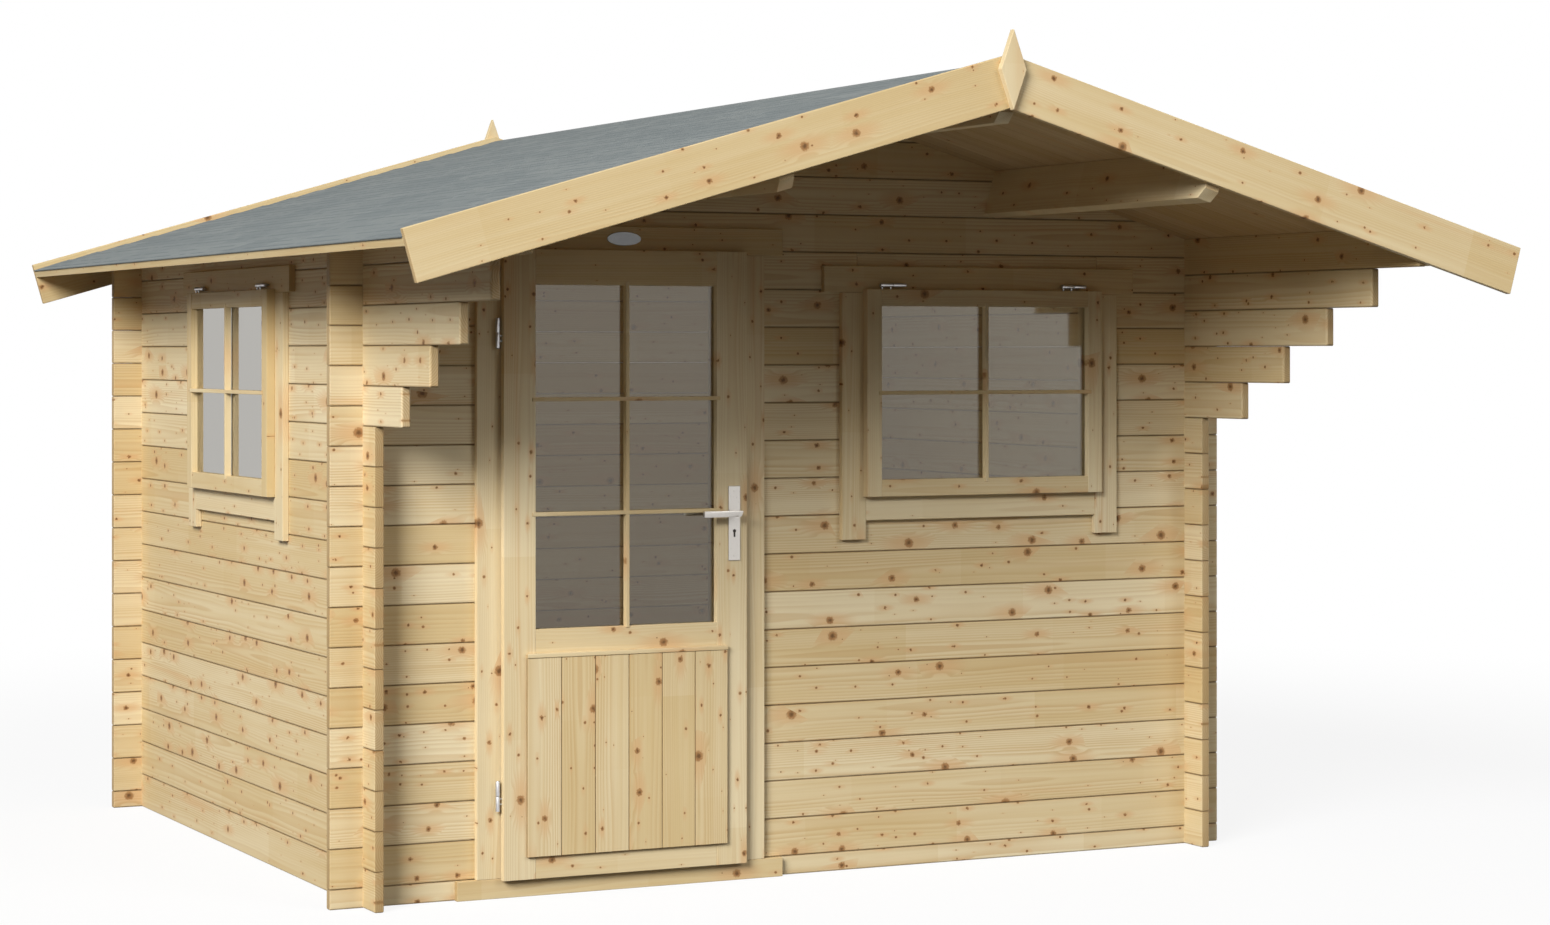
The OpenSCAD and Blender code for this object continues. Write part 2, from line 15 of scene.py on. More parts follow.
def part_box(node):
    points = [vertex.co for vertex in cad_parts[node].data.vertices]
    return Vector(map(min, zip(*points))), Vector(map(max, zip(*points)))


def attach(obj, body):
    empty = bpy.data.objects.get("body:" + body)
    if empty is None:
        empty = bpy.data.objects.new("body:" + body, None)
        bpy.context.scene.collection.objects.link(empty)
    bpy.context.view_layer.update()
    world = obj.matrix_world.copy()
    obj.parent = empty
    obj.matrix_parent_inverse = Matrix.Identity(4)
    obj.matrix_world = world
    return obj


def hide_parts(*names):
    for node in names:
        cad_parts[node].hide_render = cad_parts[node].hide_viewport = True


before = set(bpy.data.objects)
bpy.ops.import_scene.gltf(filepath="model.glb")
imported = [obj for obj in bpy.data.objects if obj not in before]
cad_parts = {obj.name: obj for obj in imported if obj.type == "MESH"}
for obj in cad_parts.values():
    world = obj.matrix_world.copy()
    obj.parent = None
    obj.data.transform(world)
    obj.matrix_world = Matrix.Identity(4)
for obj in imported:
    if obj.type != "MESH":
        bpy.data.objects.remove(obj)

log = logging.getLogger("cabin")

Number = Union[int, float]
Colour = tuple[float, float, float]


# ---------------------------------------------------------------- shader maths


class Value:
    """One output socket; arithmetic on it adds Math nodes to its tree."""

    def __init__(self, net: "Net", socket: bpy.types.NodeSocket) -> None:
        """Wraps a socket of a net's tree."""
        self.net = net
        self.socket = socket

    def _op(self, operation: str, a: Any, b: Any = 0.0) -> "Value":
        """Adds one Math node.

        Args:
            operation: The Math node's operation.
            a: First value.
            b: Second value.

        Returns:
            The node's result.
        """
        return self.net.node("ShaderNodeMath", {"operation": operation}, {0: a, 1: b})

    def __add__(self, other: Any) -> "Value":
        """Sum."""
        return self._op("ADD", self, other)

    __radd__ = __add__

    def __sub__(self, other: Any) -> "Value":
        """Difference."""
        return self._op("SUBTRACT", self, other)

    def __rsub__(self, other: Any) -> "Value":
        """Difference from a number."""
        return self._op("SUBTRACT", other, self)

    def __mul__(self, other: Any) -> "Value":
        """Product."""
        return self._op("MULTIPLY", self, other)

    __rmul__ = __mul__

    def __truediv__(self, other: Any) -> "Value":
        """Quotient."""
        return self._op("DIVIDE", self, other)

    def __pow__(self, other: Any) -> "Value":
        """Power."""
        return self._op("POWER", self, other)

    def fract(self) -> "Value":
        """Part after the decimal point."""
        return self._op("FRACT", self)

    def floor(self) -> "Value":
        """Whole part."""
        return self._op("FLOOR", self)

    def root(self) -> "Value":
        """Square root."""
        return self._op("SQRT", self)

    def size(self) -> "Value":
        """Value without its sign."""
        return self._op("ABSOLUTE", self)

    def larger(self, other: Any) -> "Value":
        """The larger of two values."""
        return self._op("MAXIMUM", self, other)

    def above(self, limit: Number) -> "Value":
        """One where the value is over a limit, else zero."""
        return self._op("GREATER_THAN", self, limit)

    def ramp(self, low: Any, high: Any) -> "Value":
        """Smooth step from zero at low to one at high."""
        return self.net.node("ShaderNodeMapRange", {"interpolation_type": "SMOOTHSTEP"},
                             {"Value": self, "From Min": low, "From Max": high})


class Net:
    """Builds the node tree of one material or world."""

    def __init__(self, owner: Any) -> None:
        """Empties the owner's tree."""
        owner.use_nodes = True
        self.tree = owner.node_tree
        self.tree.nodes.clear()

    def node(self, kind: str, settings: dict[str, Any], inputs: dict[Any, Any],
             output: Any = 0) -> Value:
        """Adds any node.

        Args:
            kind: The node's type.
            settings: Properties, set before the sockets.
            inputs: Numbers, colours or values by socket name or place.
            output: Name or place of the result socket.

        Returns:
            The result socket.
        """
        made = self.tree.nodes.new(kind)
        for key, setting in settings.items():
            setattr(made, key, setting)
        for key, given in inputs.items():
            socket = made.inputs[key]
            if isinstance(given, Value):
                self.tree.links.new(given.socket, socket)
            else:
                if isinstance(given, tuple) and socket.type == "RGBA" and len(given) == 3:
                    given = (*given, 1.0)
                socket.default_value = given
        return Value(self, made.outputs[output])

    def other(self, value: Value, output: Any) -> Value:
        """Another output of the node that a value comes from."""
        return Value(self, value.socket.node.outputs[output])

    def join(self, x: Any, y: Any, z: Any) -> Value:
        """A vector from three values."""
        return self.node("ShaderNodeCombineXYZ", {}, {0: x, 1: y, 2: z})

    def split(self, vector: Value) -> tuple[Value, Value, Value]:
        """The three parts of a vector."""
        first = self.node("ShaderNodeSeparateXYZ", {}, {0: vector})
        return first, self.other(first, 1), self.other(first, 2)

    def noise(self, vector: Value, detail: float = 2.0, rough: float = 0.5) -> Value:
        """Noise centred on zero, at one cycle per unit."""
        return self.node("ShaderNodeTexNoise", {}, {
            "Vector": vector, "Scale": 1.0, "Detail": detail, "Roughness": rough}) - 0.5

    def blend(self, factor: Any, a: Any, b: Any, how: str = "MIX") -> Value:
        """Mixes two colours."""
        return self.node("ShaderNodeMix", {"data_type": "RGBA", "blend_type": how},
                         {0: factor, 6: a, 7: b}, 2)

    def attribute(self, name: str, output: str) -> Value:
        """A mesh attribute."""
        return self.node("ShaderNodeAttribute", {"attribute_name": name}, {}, output)

    def bump(self, height: Value, distance: float, strength: float = 1.0) -> Value:
        """A normal from a height."""
        return self.node("ShaderNodeBump", {}, {
            "Height": height, "Distance": distance, "Strength": strength}, "Normal")

    def surface(self, shader: Value) -> None:
        """Joins a shader to the output."""
        out = self.tree.nodes.new("ShaderNodeOutputMaterial")
        self.tree.links.new(shader.socket, out.inputs["Surface"])


# -------------------------------------------------------------------- finishes


@dataclass(frozen=True)
class SpruceFinish:
    """Planed spruce with knots; grain runs along each board's own first axis."""

    name: str
    pale: Colour = (0.79, 0.672, 0.44)
    honey: Colour = (0.65, 0.495, 0.255)
    latewood: Colour = (0.52, 0.315, 0.12)
    heart: Colour = (0.66, 0.40, 0.19)
    knot_rim: Colour = (0.33, 0.15, 0.045)
    knot_core: Colour = (0.10, 0.045, 0.016)
    seam_painted_shade: Colour = (0.20, 0.115, 0.042)
    end_shade: Colour = (0.40, 0.25, 0.10)
    knot_cell: tuple[float, float] = (0.15, 0.062)
    knot_share: float = 0.40
    knot_size: float = 0.0118
    ring_gap: float = 0.0062
    ring_depth: float = 0.60

    def build(self) -> bpy.types.Material:
        """Makes the material.

        Returns:
            The finished material.
        """
        material = bpy.data.materials.new(self.name)
        net = Net(material)
        grain = net.attribute("grain", "Vector")
        tone = net.attribute("tone", "Fac")
        u, v, w = net.split(grain)
        cell_u, cell_v = self.knot_cell

        def knots(size: float, cu: float, cv: float, share: float,
                  shift: float) -> tuple[Value, Value, Value, Value]:
            """Scatters one size of knot, one to a cell.

            Args:
                size: Largest radius.
                cu: Length of a cell along the grain.
                cv: Width of a cell.
                share: Part of the cells that hold a knot.
                shift: Moves the cells, in cells.

            Returns:
                The knot, its dark core, its halo and the distance across it.
            """
            place = net.join(u / cu + shift, v / cv + shift, 0.0)
            seed = net.node("ShaderNodeTexVoronoi", {"voronoi_dimensions": "2D"},
                            {"Vector": place, "Scale": 1.0, "Randomness": 0.9}, "Color")
            centre_u, centre_v, _ = net.split(net.other(seed, "Position"))
            pick, big, _ = net.split(seed)
            across = (v / cv + shift - centre_v) * cv
            along = (u / cu + shift - centre_u) * cu
            wobble = net.noise(net.join(u * 160, v * 160, w * 60), 1.0) * (size * 0.8)
            reach = (along * along * 0.8 + across * across).root() + wobble
            there = pick.above(1.0 - share)
            radius = big * big * size + size * 0.35
            mask = reach.ramp(radius * 1.12, radius * 0.72) * there
            core = reach.ramp(radius * 0.75, radius * 0.1) * there
            far = (along * along * 0.10 + across * across).root()
            halo = far.ramp(radius * 2.8, radius * 0.5) * there
            return mask, core, halo, across

        mask_a, core_a, halo_a, across_a = knots(self.knot_size, cell_u, cell_v,
                                                 self.knot_share, 0.0)
        mask_b, core_b, halo_b, _ = knots(self.knot_size * 0.36, cell_u * 0.42,
                                          cell_v * 0.6, self.knot_share * 0.62, 7.3)
        halo = halo_a.larger(halo_b * 0.6)
        bent = v + across_a * halo_a * 1.1
        sway = net.noise(net.join(u * 1.3, bent * 7, w * 7), 2.0) * 0.026
        drift = net.noise(net.join(u * 1.1 + 9.0, bent * 5, w * 5), 1.0) * 0.020
        y = bent + sway
        z = w + drift
        rings = (y * y + z * z).root() / self.ring_gap
        season = rings.fract()
        late = season.ramp(0.15, 0.88) * (1.0 - season.ramp(0.90, 1.0))
        patch = net.noise(net.join(u * 0.9, bent * 16, w * 16), 2.0)
        fibre = net.noise(net.join(u * 3.5, bent * 210, w * 210), 3.0, 0.6)
        streak = net.noise(net.join(u * 0.8, bent * 42, w * 42), 3.0, 0.6)
        cloud = net.noise(net.join(u * 2.2, v * 9, w * 9), 2.0)
        step = net.node("ShaderNodeTexWhiteNoise", {"noise_dimensions": "1D"},
                        {"W": (u * 1.9 + tone * 31.0).floor()})
        body = net.blend(tone * 0.85 + streak * 0.8 + cloud * 0.55 + step * 0.36,
                         self.pale, self.honey)
        body = net.blend(late * (patch * 1.5 + 0.5).ramp(0.0, 1.0) * self.ring_depth, body,
                         self.latewood)
        resin = patch.ramp(0.13, 0.30) * (streak + 0.5)
        body = net.blend(resin * 0.75, body, self.heart)
        body = net.blend((fibre + 0.5).ramp(0.55, 0.95) * 0.22, body, self.latewood)
        body = net.blend(halo * 0.62, body, self.heart)
        body = net.blend(mask_a.larger(mask_b) * 0.78, body, self.knot_rim)
        body = net.blend(core_a.larger(core_b) * 0.8, body, self.knot_core)
        end = net.attribute("end", "Fac")
        body = net.blend(end * (0.50 + late * 0.25), body, self.end_shade)
        # Painted shade in the grooves between boards, darkening the long bevels through the seam
        # attribute.
        seam = net.attribute("seam", "Fac")
        body = net.blend(seam * 0.82, body, self.seam_painted_shade)
        height = late * 0.35 + fibre * 0.9 + mask_a * 0.5
        shader = net.node("ShaderNodeBsdfPrincipled", {}, {
            "Base Color": body,
            "Roughness": 0.58 + streak * 0.25,
            "Specular IOR Level": 0.22,
            "Normal": net.bump(height, 0.0005, 0.5),
        })
        net.surface(shader)
        return material


@dataclass(frozen=True)
class FeltFinish:
    """Mineral roofing felt: fine grit over a tone for each tab."""

    name: str
    dark: Colour = (0.165, 0.190, 0.195)
    light: Colour = (0.275, 0.296, 0.288)
    course: float = 0.0515

    def build(self) -> bpy.types.Material:
        """Makes the material."""
        material = bpy.data.materials.new(self.name)
        net = Net(material)
        place = net.node("ShaderNodeTexCoord", {}, {}, "Object")
        x, y, z = net.split(place)
        grit = net.noise(net.join(x * 700, y * 700, z * 700), 2.0, 0.7)
        smear = net.noise(net.join(x * 60, y * 5, z * 60), 3.0, 0.6)
        cloud = net.noise(net.join(x * 2.5, y * 2.5, z * 2.5), 2.0)
        tone = net.attribute("tone", "Fac")
        # Dark lines across the felt, one per course width and shown in random stretches, are
        # painted shade along the course edges.
        row = x.size() / self.course
        wear_and_shade_mask = (net.noise(net.join(row.floor() * 3.7, y * 9, 0.0), 2.0) + 0.5).ramp(0.38, 0.58)
        line = row.fract().ramp(0.70, 0.92) * (1.0 - row.fract().ramp(0.94, 1.0)) * wear_and_shade_mask
        body = net.blend(tone * 0.35 + grit * 0.9 + smear * 0.6 + cloud * 0.35 + 0.35
                         - line * 1.5, self.dark, self.light)
        shader = net.node("ShaderNodeBsdfPrincipled", {}, {
            "Base Color": body, "Roughness": 0.88 + grit * 0.15,
            "Specular IOR Level": 0.2,
            "Normal": net.bump(grit, 0.0012, 0.7)})
        net.surface(shader)
        return material


@dataclass(frozen=True)
class SteelFinish:
    """Metal with brushed lines and worn specks."""

    name: str
    bright: Colour = (0.59, 0.56, 0.52)
    dull: Colour = (0.30, 0.27, 0.25)
    metallic: float = 0.75
    roughness: float = 0.38
    wear: float = 0.85

    def build(self) -> bpy.types.Material:
        """Makes the material."""
        material = bpy.data.materials.new(self.name)
        net = Net(material)
        place = net.node("ShaderNodeTexCoord", {}, {}, "Object")
        x, y, z = net.split(place)
        speck = net.noise(net.join(x * 260, y * 260, z * 260), 4.0, 0.7)
        brush = net.noise(net.join(x * 900, y * 900, z * 60), 2.0)
        wear_and_shade_mask = speck.ramp(0.10, 0.24)
        body = net.blend(wear_and_shade_mask * self.wear + brush * 0.25, self.bright, self.dull)
        shader = net.node("ShaderNodeBsdfPrincipled", {}, {
            "Base Color": body, "Metallic": self.metallic,
            "Roughness": self.roughness + wear_and_shade_mask * 0.25 + brush * 0.12,
            "Normal": net.bump(speck + brush * 0.5, 0.0003, 0.35)})
        net.surface(shader)
        return material


@dataclass(frozen=True)
class GlassFinish:
    """A clear pane that mirrors the sky a little."""

    name: str
    tint: Colour = (0.78, 0.77, 0.72)
    ior: float = 1.75

    def build(self) -> bpy.types.Material:
        """Makes the material."""
        material = bpy.data.materials.new(self.name)
        net = Net(material)
        place = net.node("ShaderNodeTexCoord", {}, {}, "Object")
        x, y, z = net.split(place)
        haze = net.noise(net.join(x * 2.0, y * 2.0, z * 1.2), 2.0)
        clear = net.node("ShaderNodeBsdfTransparent", {}, {"Color": self.tint})
        mirror = net.node("ShaderNodeBsdfPrincipled", {}, {
            "Base Color": (0.95, 0.92, 0.86), "Metallic": 1.0,
            "Roughness": 0.03 + (haze + 0.5) * 0.03})
        rim = net.node("ShaderNodeFresnel", {}, {"IOR": self.ior})
        shader = net.node("ShaderNodeMixShader", {}, {0: rim, 1: clear, 2: mirror})
        net.surface(shader)
        return material


@dataclass(frozen=True)
class PaintFinish:
    """A plain painted or dark surface with a little mottling."""

    name: str
    base: Colour
    roughness: float = 0.4
    metallic: float = 0.0

    def build(self) -> bpy.types.Material:
        """Makes the material."""
        material = bpy.data.materials.new(self.name)
        net = Net(material)
        place = net.node("ShaderNodeTexCoord", {}, {}, "Object")
        x, y, z = net.split(place)
        mottle = net.noise(net.join(x * 90, y * 90, z * 90), 3.0)
        body = net.blend(mottle + 0.5, self.base, tuple(c * 0.82 for c in self.base))
        shader = net.node("ShaderNodeBsdfPrincipled", {}, {
            "Base Color": body, "Metallic": self.metallic,
            "Roughness": self.roughness + mottle * 0.1,
            "Normal": net.bump(mottle, 0.0002, 0.3)})
        net.surface(shader)
        return material


# ------------------------------------------------------------------- workbench


class Way(Enum):
    """Direction of a board's grain, with the turn that lays it there."""

    ALONG_X = Matrix(((1, 0, 0), (0, 0, -1), (0, 1, 0)))
    ALONG_Y = Matrix(((0, 0, 1), (1, 0, 0), (0, 1, 0)))
    UPRIGHT = Matrix(((0, 1, 0), (0, 0, 1), (1, 0, 0)))
    FLAT_X = Matrix(((1, 0, 0), (0, 1, 0), (0, 0, 1)))


@dataclass
class Cut:
    """A plane that trims a piece; what lies on the normal's side goes."""

    point: Vector
    normal: Vector


def blank_mesh() -> bmesh.types.BMesh:
    """An empty mesh with the attributes that the finishes read."""
    mesh = bmesh.new()
    mesh.verts.layers.float_vector.new("grain")
    for name in ("tone", "end", "seam"):
        mesh.verts.layers.float.new(name)
    return mesh


@dataclass
class Bench:
    """Collects the boards of one piece in one mesh."""

    name: str
    seed: int
    mesh: bmesh.types.BMesh = field(init=False)
    chance: random.Random = field(init=False)

    def __post_init__(self) -> None:
        """Starts an empty mesh with its attributes."""
        self.mesh = blank_mesh()
        self.chance = random.Random(self.seed)

    def plank(self, low: Iterable[float], high: Iterable[float], way: Way,
              edge: float = 0.0015, end: float = 0.0012, steps: int = 2,
              place: Matrix = Matrix.Identity(4), cuts: Iterable[Cut] = (),
              twin: bool = False, tone: float = -1.0, seam: float = 0.0) -> None:
        """Adds one board with eased edges.

        Args:
            low: Lowest corner.
            high: Highest corner.
            way: Direction of the grain.
            edge: Width of the bevel along the grain.
            end: Width of the bevel around the ends.
            steps: Segments of the long bevels.
            place: Turns and moves the board after it is made.
            cuts: Planes that trim it.
            twin: Keeps the grain of the board before.
            tone: Shade from pale to honey; drawn by chance when negative.
            seam: Strength of the painted shade on the long bevels, where boards meet.
        """
        low, high = Vector(low), Vector(high)
        turn = way.value
        size = high - low
        local = Vector([abs(c) for c in (turn.transposed() @ size)])
        board = blank_mesh()
        bmesh.ops.create_cube(board, size=1.0)
        bmesh.ops.scale(board, vec=local, verts=board.verts)
        half = local.x / 2
        long_edges = [e for e in board.edges if abs(e.verts[0].co.x - e.verts[1].co.x) > half]
        if edge > 0:
            bmesh.ops.bevel(board, geom=long_edges, offset=edge, offset_type="OFFSET",
                            affect="EDGES", segments=steps, profile=0.5, material=-1,
                            clamp_overlap=True)
        if end > 0:
            rims = [e for e in board.edges
                    if all(abs(abs(p.co.x) - half) < 1e-6 for p in e.verts)
                    and e.verts[0].co.x * e.verts[1].co.x > 0]
            bmesh.ops.bevel(board, geom=rims, offset=end, offset_type="OFFSET",
                            affect="EDGES", segments=1, profile=0.5, material=-1,
                            clamp_overlap=True)
        lay = place @ (Matrix.Translation((low + high) / 2) @ turn.to_4x4())
        bmesh.ops.transform(board, matrix=lay, verts=board.verts)
        for cut in cuts:
            self._trim(board, cut)
        if not twin:
            side = 1 if self.chance.random() < 0.5 else -1
            self.shift = Vector((self.chance.uniform(0, 60),
                                 self.chance.uniform(-0.45, 0.45) * local.y,
                                 side * self.chance.uniform(0.015, 0.075)))
            self.shade = self.chance.random()
        back = lay.inverted()
        grain = board.verts.layers.float_vector["grain"]
        shade = board.verts.layers.float["tone"]
        tip = board.verts.layers.float["end"]
        joint = board.verts.layers.float["seam"]
        for vert in board.verts:
            at = back @ vert.co
            vert[grain] = at + self.shift
            vert[tip] = 1.0 if abs(abs(at.x) - half) < 1e-5 else 0.0
            # The seam value marks the long bevels for painted shade in the grooves between boards.
            if seam > 0:
                out = (abs(at.y) - local.y / 2 + edge) / edge
                vert[joint] = seam * min(1.0, max(0.0, out))
            vert[shade] = self.shade if tone < 0 else tone
        self._take(board)

    def _trim(self, board: bmesh.types.BMesh, cut: Cut) -> None:
        """Cuts a board with a plane and closes it."""
        found = bmesh.ops.bisect_plane(
            board, geom=[*board.verts, *board.edges, *board.faces], dist=1e-6,
            plane_co=cut.point, plane_no=cut.normal, clear_outer=True)
        rim = [e for e in found["geom_cut"] if isinstance(e, bmesh.types.BMEdge)]
        if rim:
            bmesh.ops.contextual_create(board, geom=rim)

    def _take(self, board: bmesh.types.BMesh) -> None:
        """Moves a finished board into the piece."""
        if board.faces:
            bmesh.ops.recalc_face_normals(board, faces=board.faces)
            spare = bpy.data.meshes.new("spare")
            board.to_mesh(spare)
            self.mesh.from_mesh(spare)
            bpy.data.meshes.remove(spare)
        board.free()

    def rod(self, start: Iterable[float], stop: Iterable[float], radius: float,
            sides: int = 32, edge: float = 0.0006) -> None:
        """Adds a round bar with eased rims.

        Args:
            start: Middle of one end.
            stop: Middle of the other end.
            radius: Radius of the bar.
            sides: Number of faces around it.
            edge: Width of the bevel on each rim.
        """
        start, stop = Vector(start), Vector(stop)
        axis = stop - start
        bar = blank_mesh()
        bmesh.ops.create_cone(bar, cap_ends=True, segments=sides, radius1=radius,
                              radius2=radius, depth=axis.length)
        if edge > 0:
            rims = [e for e in bar.edges if e.verts[0].co.z * e.verts[1].co.z > 0]
            bmesh.ops.bevel(bar, geom=rims, offset=edge, offset_type="OFFSET", affect="EDGES",
                            segments=2, profile=0.5, material=-1, clamp_overlap=True)
        turn = axis.to_track_quat("Z", "Y").to_matrix().to_4x4()
        bmesh.ops.transform(bar, matrix=Matrix.Translation((start + stop) / 2) @ turn,
                            verts=bar.verts)
        self._take(bar)

    def slab(self, outline: list[tuple[float, float]], y0: float, y1: float,
             edge: float = 0.001, tone: float = 0.5) -> None:
        """Adds a flat shape drawn in X and Z, from y0 to y1."""
        shape = blank_mesh()
        grain = shape.verts.layers.float_vector["grain"]
        shade = shape.verts.layers.float["tone"]
        corners = [shape.verts.new((x, y0, z)) for x, z in outline]
        face = shape.faces.new(corners)
        grown = bmesh.ops.extrude_face_region(shape, geom=[face])
        moved = [g for g in grown["geom"] if isinstance(g, bmesh.types.BMVert)]
        bmesh.ops.translate(shape, vec=(0, y1 - y0, 0), verts=moved)
        bmesh.ops.recalc_face_normals(shape, faces=shape.faces)
        if edge > 0:
            bmesh.ops.bevel(shape, geom=shape.edges[:], offset=edge, offset_type="OFFSET",
                            affect="EDGES", segments=2, profile=0.5, material=-1,
                            clamp_overlap=True)
        for vert in shape.verts:
            vert[grain] = Vector((vert.co.z + 3.0, vert.co.x, vert.co.y + 0.04))
            vert[shade] = tone
        self._take(shape)

    def finish(self, body: str, material: bpy.types.Material,
               nodes: Iterable[str], smooth: bool = False) -> bpy.types.Object:
        """Makes the piece, dresses it and lets it ride.

        Args:
            body: Body that it moves with.
            material: Its finish.
            nodes: CAD nodes that it stands for.
            smooth: Shades the faces smoothly.

        Returns:
            The piece.
        """
        mesh = bpy.data.meshes.new(self.name)
        if smooth:
            for face in self.mesh.faces:
                face.smooth = True
        self.mesh.to_mesh(mesh)
        self.mesh.free()
        if smooth:
            mesh.set_sharp_from_angle(angle=math.radians(40))
        piece = bpy.data.objects.new(self.name, mesh)
        bpy.context.scene.collection.objects.link(piece)
        mesh.materials.append(material)
        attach(piece, body)
        if nodes:
            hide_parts(*nodes)
        log.info("%s: %d faces on %s", self.name, len(mesh.polygons), body)
        return piece


# ------------------------------------------------------------------ the cabin


@dataclass
class Finishes:
    """Every finish on the cabin."""

    logs: bpy.types.Material = field(default_factory=lambda: SpruceFinish("log_spruce").build())
    boards: bpy.types.Material = field(default_factory=lambda: SpruceFinish(
        "board_spruce", knot_cell=(0.21, 0.062), knot_share=0.46, knot_size=0.0115,
        ring_gap=0.0048, ring_depth=0.36).build())
    soffit: bpy.types.Material = field(default_factory=lambda: SpruceFinish(
        "roof_spruce", pale=(0.72, 0.56, 0.34), honey=(0.56, 0.40, 0.20),
        knot_cell=(0.26, 0.08), knot_share=0.22, knot_size=0.007, ring_gap=0.0055,
        ring_depth=0.5).build())
    felt: bpy.types.Material = field(default_factory=lambda: FeltFinish("mineral_felt").build())
    steel: bpy.types.Material = field(default_factory=lambda: SteelFinish(
        "brushed_steel").build())
    zinc: bpy.types.Material = field(default_factory=lambda: SteelFinish(
        "zinc_hinges", bright=(0.56, 0.56, 0.57), dull=(0.30, 0.30, 0.31), wear=0.3).build())
    glass: bpy.types.Material = field(default_factory=lambda: GlassFinish("pane_glass").build())
    side_glass: bpy.types.Material = field(default_factory=lambda: GlassFinish(
        "side_pane_glass", ior=7.0).build())
    plaque: bpy.types.Material = field(default_factory=lambda: PaintFinish(
        "plaque_enamel", (0.50, 0.53, 0.56), 0.3, 0.2).build())
    # Near-black finish for the keyhole slabs: painted shade inside the holes.
    hollow: bpy.types.Material = field(default_factory=lambda: PaintFinish(
        "keyhole_shade", (0.03, 0.022, 0.015), 0.8).build())


